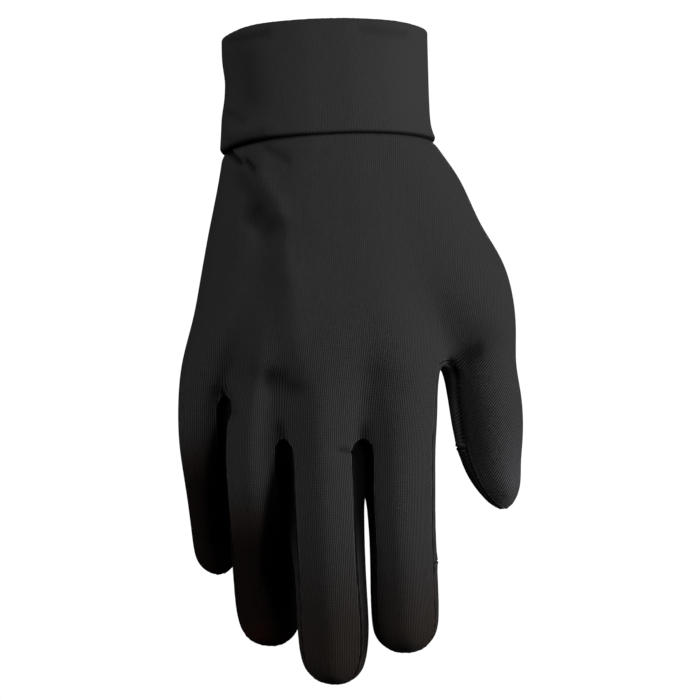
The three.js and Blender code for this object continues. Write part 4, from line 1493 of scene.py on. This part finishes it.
MATERIAL_OF_SLOT = {
    # After the hand's colour: painted shade of the fingertips, darker and warmer, then a painted warm glow at
    # the very ends
    "hand_jersey": jersey(
        "black_polyester_jersey", ["#363638", "#2f2620", "#1b0e0a", "#401e0e"],
        rib_depth=0.24, rib_shade=0.45, sheen=0.12,
    ),
    "cuff_jersey": jersey(
        "doubled_black_jersey", ["#353537"], rib_depth=0.12, rib_shade=0.45, sheen=0.12,
    ),
    # After the strip's colour: painted shade of the fingertips, darker and warmer
    "strip_jersey": jersey(
        "black_jersey_strip", ["#2c2c2e", "#272220", "#1a1412"], rib_depth=0.06, rib_shade=0.12, sheen=0.08,
    ),
}
PATTERNS = {
    "back_panel": side_pattern(1, (2, 3, 4), (0, 7, 6)),
    "palm_panel": side_pattern(5, (4, 3, 2), (6, 7, 0)),
}
for ray, (_, strip) in enumerate(SIDE_PANELS[:4]):
    PATTERNS[strip] = strip_pattern(ray)
for entry in frame["record"]["subparts"]:
    node, slot = entry["node"], entry["material_slot"]
    chosen = panels == node
    if node == "cuff_band":
        pattern = band_pattern(lattice, chosen)
        levels = cuff_levels()
    else:
        pattern = spread_pattern(lattice, chosen, PATTERNS[node])
        levels = hand_levels(node)
    sewn_panel(node, levels, pattern, MATERIAL_OF_SLOT[slot])

stitches("panel_seam_stitches", hand_seams, sewing_thread())


def soft_light(name, place, size, power, colour, mirrored):
    """A round lamp that faces the middle of the glove. One that isn't mirrored leaves no gloss."""
    lamp = bpy.data.lights.new(name, "AREA")
    lamp.shape = "DISK"
    lamp.size = size
    lamp.energy = power
    lamp.color = linear(colour)[:3]
    light = add_object(name, lamp)
    light.location = place
    light.visible_glossy = mirrored
    direction = (Vector(cad_box[0]) + Vector(cad_box[1])) / 2 - light.location
    light.rotation_euler = direction.to_track_quat("-Z", "Y").to_euler()


def pale_floor():
    """A plain white studio floor, some way below the fingertips. It throws no light back up at the
    glove, as a floor far below doesn't, so the fingers that curl under stay dark."""
    height = cad_box[0][2] - FLOOR_DROP
    corners = [(x * FLOOR_HALF, y * FLOOR_HALF, height) for x, y in ((-1, -1), (1, -1), (1, 1), (-1, 1))]
    mesh = bpy.data.meshes.new("floor")
    mesh.from_pydata(corners, [], [(0, 1, 2, 3)])
    floor = add_object("floor", mesh)
    material = bpy.data.materials.new("white_paper")
    tree = empty_tree(material)
    surface = add_node(tree, "ShaderNodeBsdfPrincipled", {"Base Color": linear("#d2d2d2"), "Roughness": 0.9})
    add_node(tree, "ShaderNodeOutputMaterial", {"Surface": surface.outputs[0]})
    mesh.materials.append(material)
    floor.visible_diffuse = False
    floor.visible_glossy = False


def studio_sky():
    """A white studio all round, which lights the glove less than it shows."""
    world = bpy.data.worlds.new("studio")
    tree = empty_tree(world)
    seen = add_node(tree, "ShaderNodeBackground", {"Color": linear("#ffffff"), "Strength": SKY_SEEN})
    light = add_node(tree, "ShaderNodeBackground", {"Color": linear("#ffffff"), "Strength": SKY_LIGHT})
    ray = add_node(tree, "ShaderNodeLightPath")
    mixed = add_node(tree, "ShaderNodeMixShader", {
        0: ray.outputs["Is Camera Ray"], 1: light.outputs[0], 2: seen.outputs[0],
    })
    add_node(tree, "ShaderNodeOutputWorld", {"Surface": mixed.outputs[0]})
    bpy.context.scene.world = world


# The lamps, with places and widths in metres. The warm one, far below, colours the ends of the fingers.
LAMP_COLUMNS = ("name", "place", "size", "power", "colour", "mirrored")
LAMPS = [
    ("key", (0.8, -1.6, 0.7), 0.6, 5.5, "#ffffff", True),
    ("front", (-0.35, -2.0, 0.3), 0.6, 1.2, "#ffffff", True),
    ("little_side", (-1.5, -1.0, 0.5), 0.9, 9.0, "#ffffff", True),
    ("thumb_side", (1.8, -0.5, 0.2), 0.6, 17.0, "#ffffff", True),
    ("thumb_side_low", (1.6, -0.9, -0.3), 0.6, 6.0, "#ffffff", True),
    ("warm_below", (-0.75, -0.65, -2.0), 0.6, 24.0, "#ff8040", False),
    ("behind", (0.1, 1.7, 0.5), 0.8, 14.0, "#ffffff", True),
]
pale_floor()
studio_sky()
for lamp in LAMPS:
    soft_light(**dict(zip(LAMP_COLUMNS, lamp)))

camera_data = bpy.data.cameras.new("camera")
camera = add_object("camera", camera_data)
bpy.context.scene.camera = camera
half_frame = FRAME_PIXELS / 2
camera.location = (
    (half_frame - ORIGIN_PIXEL[0]) * PIXEL * MM,
    -CAMERA_DISTANCE,
    (ORIGIN_PIXEL[1] - half_frame) * PIXEL * MM,
)
camera.rotation_euler = (math.pi / 2, 0, 0)
camera_data.lens = camera_data.sensor_width * CAMERA_DISTANCE / (FRAME_PIXELS * PIXEL * MM)
bpy.context.scene.view_settings.view_transform = "Standard"
